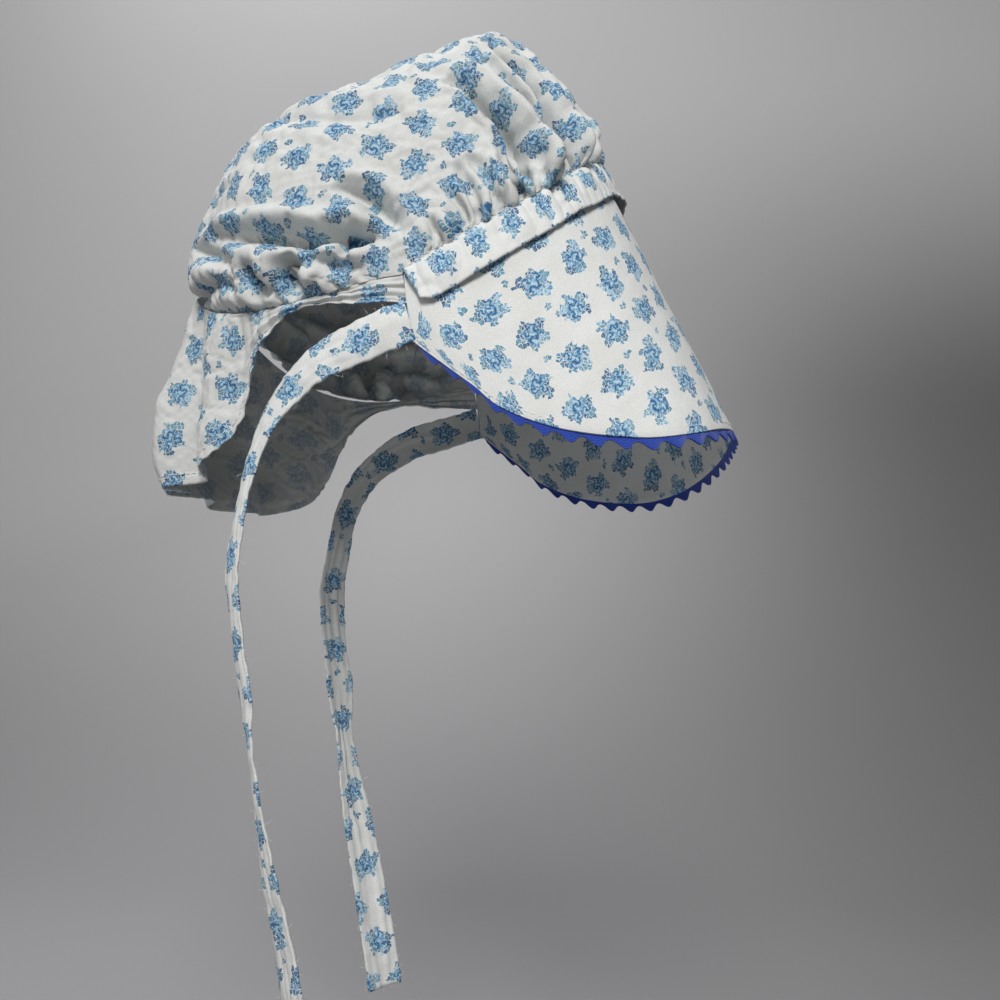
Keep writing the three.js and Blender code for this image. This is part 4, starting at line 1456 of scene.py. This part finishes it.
def rickrack_tree():
    """A braid that swings along a line."""
    sizes = {"Base": 0.001, "Point": 0.0046, "Band": 0.0065, "Length": 0.4}
    tree, sketch, given = new_tree("rickrack", sizes, "Teeth", 38)
    steps = sketch.times_plus(given["Teeth"], STEPS_PER_TOOTH, 1.0)
    inputs = {"Size X": 1.0, "Size Y": 1.0, "Vertices X": steps, "Vertices Y": STRIP_POINTS_ACROSS}
    strip = sketch.node("GeometryNodeMeshGrid", inputs).outputs["Mesh"]
    x, y, _ = sketch.split(sketch.node("GeometryNodeInputPosition").outputs[0])
    along = sketch.plus(x, 0.5)
    line = sketch.node("GeometryNodeMeshToCurve", {0: given["Geometry"]}).outputs[0]

    def sampled(title):
        """One of the line's directions at each place along it, and the place itself."""
        vectors = {"data_type": "FLOAT_VECTOR"}
        named = sketch.node("GeometryNodeInputNamedAttribute", {"Name": title}, **vectors)
        inputs = {"Curves": line, "Value": named.outputs[0], "Factor": along}
        sample = sketch.node("GeometryNodeSampleCurve", inputs, mode="FACTOR", **vectors)
        return sample.outputs["Value"], sample.outputs["Position"]

    outward, place = sampled("outward")
    upward, _ = sampled("upward")
    swing = sketch.times(sketch.times(along, given["Teeth"]), 2 * math.pi)
    wave = sketch.times_plus(sketch.cosine(swing), -0.5, 0.5)
    wave = sketch.math("POWER", wave, POINT_SHARPNESS)
    outer = sketch.times_plus(wave, given["Point"], given["Base"])
    out = sketch.minus(outer, sketch.times(sketch.minus(0.5, y), given["Band"]))
    ridge = sketch.times(sketch.cosine(sketch.times(y, 2 * math.pi)), MIDDLE_RIDGE)
    place = sketch.vector("ADD", place, sketch.scaled(outward, out))
    place = sketch.vector("ADD", place, sketch.scaled(upward, ridge))
    flat_along = sketch.times(along, given["Length"])
    flat = sketch.join(flat_along, sketch.times(y, given["Band"]))
    inputs = {"Name": "cloth", "Geometry": strip, "Value": flat}
    kind = "GeometryNodeStoreNamedAttribute"
    marked = sketch.node(kind, inputs, data_type="FLOAT2", domain="CORNER").outputs[0]
    laid = sketch.node("GeometryNodeSetPosition", {"Geometry": marked, "Position": place})
    finish_tree(sketch, laid.outputs[0], given)
    return tree


# %% Rickrack
RICKRACK_PITCH = 0.0115
RICKRACK_BASE = 0.0018
RICKRACK_POINT = 0.0037
RICKRACK_BAND = 0.0065
RICKRACK_THICKNESS = 0.0010
RICKRACK_FROM_CORNER = 0.004
RICKRACK_EDGE = 0.0003
RIM_STEPS = 600
BRAID_STEP = 0.002
BRAID_DARK = (0.006, 0.030, 0.26, 1)
BRAID_LIGHT = (0.018, 0.085, 0.60, 1)


def blue_braid():
    """Royal blue braid. Its threads run in a herringbone along the strip. Its colour is darker
    in the hollows between the threads, which is painted shade, and varies with a random fuzz.
    """
    material, shader, sketch = new_material("blue_rickrack", 0.62, 0.2)
    place = sketch.node("ShaderNodeUVMap", uv_map="cloth").outputs[0]
    x, y, _ = sketch.split(sketch.scaled(place, 1000.0))
    slant = sketch.plus(x, sketch.times(sketch.math("ABSOLUTE", y), 0.9))
    threads = sketch.sine(sketch.times(slant, 2 * math.pi / 0.7))
    cords = sketch.sine(sketch.times(y, 2 * math.pi / 1.3))
    relief = sketch.times_plus(cords, 0.8, threads)
    fuzz = sketch.minus(sketch.noise(place, 700.0), 0.5)
    # painted shade in the weave's hollows, mixed with random fuzz: darker where the relief is low
    shade = sketch.times_plus(fuzz, 0.5, sketch.step(relief, -1.5, 1.2))
    colour = sketch.blend(shade, BRAID_DARK, BRAID_LIGHT)
    sketch.put(shader.inputs["Base Color"], colour)
    sketch.put(shader.inputs["Normal"], sketch.bump(relief, 0.6, 0.00025))
    return material


def rim_line(steps, back_from_rim):
    """A line along the rim with its outward and upward directions."""
    share = np.linspace(0, 1, steps)[None, :]
    edge = rim(share)
    inner = brim_point(share, np.full_like(share, 0.9))
    outward = unit(edge - inner)
    upward = unit(np.cross(outward, np.gradient(edge, axis=1)))
    return (edge - outward * back_from_rim)[0], outward[0], upward[0]


line, outward, upward = rim_line(RIM_STEPS, 0)
length = float(np.linalg.norm(np.diff(line, axis=0), axis=1).sum())
left_free = RICKRACK_FROM_CORNER / length
places = even_line(line, BRAID_STEP)
places = places[(places > RIM_STEPS * left_free) & (places < RIM_STEPS * (1 - left_free))]
line, outward, upward = (at_places(values, places) for values in (line, outward, upward))
rickrack = carrier("rickrack_braid", line, outward, upward)
teeth = int(round((length - 2 * RICKRACK_FROM_CORNER) / RICKRACK_PITCH))
add_tree(
    rickrack,
    rickrack_tree(),
    Base=RICKRACK_BASE,
    Point=RICKRACK_POINT,
    Band=RICKRACK_BAND,
    Length=length,
    Teeth=teeth,
    Material=blue_braid(),
)
made_solid(rickrack)
thicken(rickrack, RICKRACK_THICKNESS)
soften_edges(rickrack, RICKRACK_EDGE, 30)
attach(rickrack, "root")
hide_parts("rickrack")
print("rickrack:", teeth, "teeth,", len(rickrack.data.polygons), "faces")

# %% [markdown]
# ## Stitches and loose threads
# Rows of white stitches close the seams, and a few threads have worked loose along the raw edges of
# the ties. Both are one small shape repeated along a line with small changes, which is what
# Geometry Nodes are for: points are spread along the line, a stitch or a thread is placed on each,
# and the sizes are inputs. A fixed seed makes every run the same.

# %% Stitch and thread trees
THREAD_DARK = (0.70, 0.69, 0.66, 1)
THREAD_LIGHT = (0.86, 0.85, 0.82, 1)
ANY_TURN = 3.1


def along_line(sketch, given):
    """Even points on the carrier line, with the direction of the line at each."""
    line = sketch.node("GeometryNodeMeshToCurve", {0: given["Geometry"]}).outputs[0]
    inputs = {"Curve": line, "Length": given["Spacing"]}
    spread = sketch.node("GeometryNodeCurveToPoints", inputs, mode="LENGTH")
    return spread.outputs["Points"], spread.outputs["Rotation"]


def seeded(sketch, low, high, seed):
    """A random number for each point."""
    inputs = {2: low, 3: high, "Seed": seed}
    return sketch.node("FunctionNodeRandomValue", inputs, data_type="FLOAT").outputs[1]


def placed(sketch, points, shape, rotation, scale):
    """A copy of a small shape on each point."""
    inputs = {"Points": points, "Instance": shape, "Rotation": rotation, "Scale": scale}
    return sketch.node("GeometryNodeInstanceOnPoints", inputs).outputs[0]


def stitch_tree():
    """Short stitches in a row."""
    sizes = {"Spacing": 0.0032, "Length": 0.0024, "Thick": 0.0005}
    tree, sketch, given = new_tree("stitches", sizes, "Seed", 3)
    points, rotation = along_line(sketch, given)
    inputs = {"Segments": 6, "Rings": 5, "Radius": 0.5}
    ball = sketch.node("GeometryNodeMeshUVSphere", inputs).outputs[0]
    size = sketch.join(given["Thick"], given["Thick"], given["Length"])
    stitch = sketch.node("GeometryNodeTransform", {"Geometry": ball, "Scale": size}).outputs[0]
    stretch = sketch.join(1.0, 1.0, seeded(sketch, 0.85, 1.1, given["Seed"]))
    finish_tree(sketch, placed(sketch, points, stitch, rotation, stretch), given)
    return tree


def thread_tree():
    """Loose threads that stand out of a raw edge, each turned its own way."""
    sizes = {"Spacing": 0.004, "Length": 0.0032, "Thick": 0.00007}
    tree, sketch, given = new_tree("loose_threads", sizes, "Seed", 5)
    points, _ = along_line(sketch, given)
    middle = sketch.join(sketch.times(given["Length"], 0.6), 0.0, 0.0)
    half = sketch.times(given["Length"], 0.5)
    end = sketch.join(given["Length"], half, half)
    inputs = {"Resolution": 5, "Start": (0, 0, 0), "Middle": middle, "End": end}
    arc = sketch.node("GeometryNodeCurveQuadraticBezier", inputs).outputs[0]
    inputs = {"Resolution": 4, "Radius": given["Thick"]}
    section = sketch.node("GeometryNodeCurvePrimitiveCircle", inputs).outputs[0]
    inputs = {"Curve": arc, "Profile Curve": section, "Fill Caps": True}
    thread = sketch.node("GeometryNodeCurveToMesh", inputs).outputs[0]
    inputs = {0: (-ANY_TURN,) * 3, 1: (ANY_TURN,) * 3, "Seed": given["Seed"]}
    twist = sketch.node("FunctionNodeRandomValue", inputs, data_type="FLOAT_VECTOR").outputs[0]
    size = seeded(sketch, 0.35, 1.1, given["Seed"])
    size = sketch.join(size, size, size)
    finish_tree(sketch, placed(sketch, points, thread, twist, size), given)
    return tree


def white_thread():
    """Sewing thread: off-white, with a twist along it and a little sheen."""
    material, shader, sketch = new_material("white_thread", 0.7, 0.2)
    place = sketch.node("ShaderNodeTexCoord").outputs["Object"]
    twist = sketch.noise(place, 1800.0)
    sketch.put(shader.inputs["Base Color"], sketch.blend(twist, THREAD_DARK, THREAD_LIGHT))
    sketch.put(shader.inputs["Normal"], sketch.bump(twist, 0.4, 0.0001))
    return material


# %% Sew
LINE_STEPS = 900
SEAM_STITCH_LIFT = 0.0006
HEM_STITCH_LIFT = 0.0007
HEM_STITCHES_FROM = 0.17
RIM_STITCHES_IN = 0.0035
RIM_STITCHES_LEFT_OUT = 12
THREADS_LEFT_OUT = 6
THREAD_SPACING = 0.0045

WHITE_THREAD = white_thread()
STITCHES = stitch_tree()
THREADS = thread_tree()


def repeat_along(name, line, tree, **sizes):
    """A row of stitches or threads along a line of points."""
    nothing = np.zeros_like(line)
    row = carrier(name, line, nothing, nothing)
    add_tree(row, tree, Material=WHITE_THREAD, **sizes)
    made_solid(row)
    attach(row, "root")
    print(name, len(row.data.polygons), "faces")


def hem_line(points, from_hem):
    """A line along the neck frill's hem, on its face and clear of its narrow ends."""
    face = raised(points, np.full(from_hem.shape, HEM_STITCH_LIFT))
    wanted = np.minimum(HEM, 0.5 * from_hem[0])
    rows = np.argmin(np.abs(from_hem - wanted), axis=0)
    line = face[rows, np.arange(len(rows))]
    return line[int(HEM_STITCHES_FROM * len(line)) : int((1 - HEM_STITCHES_FROM) * len(line))]


share = np.linspace(0.01, 0.99, LINE_STEPS)[None, :]
seam_line = on_stitches(share)[0]
seam_out = unit(seam_line - from_ears(0, 0, 0))
repeat_along("seam_stitches", seam_line + SEAM_STITCH_LIFT * seam_out, STITCHES)

line, _, upward = rim_line(LINE_STEPS, RIM_STITCHES_IN)
for side, title in ((1, "rim_stitches"), (-1, "rim_stitches_inside")):
    row = line + upward * side * (BRIM_THICKNESS / 2)
    repeat_along(title, row[RIM_STITCHES_LEFT_OUT:-RIM_STITCHES_LEFT_OUT], STITCHES)

repeat_along("hem_stitches", hem_line(hemmed, from_hem), STITCHES)

for side, title in ((-1, "tie_right_threads"), (1, "tie_left_threads")):
    tie_points, _, _ = tie_grid(side, TIE_COLUMNS, TIE_ROWS)
    down_one = tie_points[THREADS_LEFT_OUT:, 0]
    up_other = tie_points[::-1][:-THREADS_LEFT_OUT, -1]
    edges = np.concatenate([down_one, up_other])
    repeat_along(title, edges, THREADS, Spacing=THREAD_SPACING)
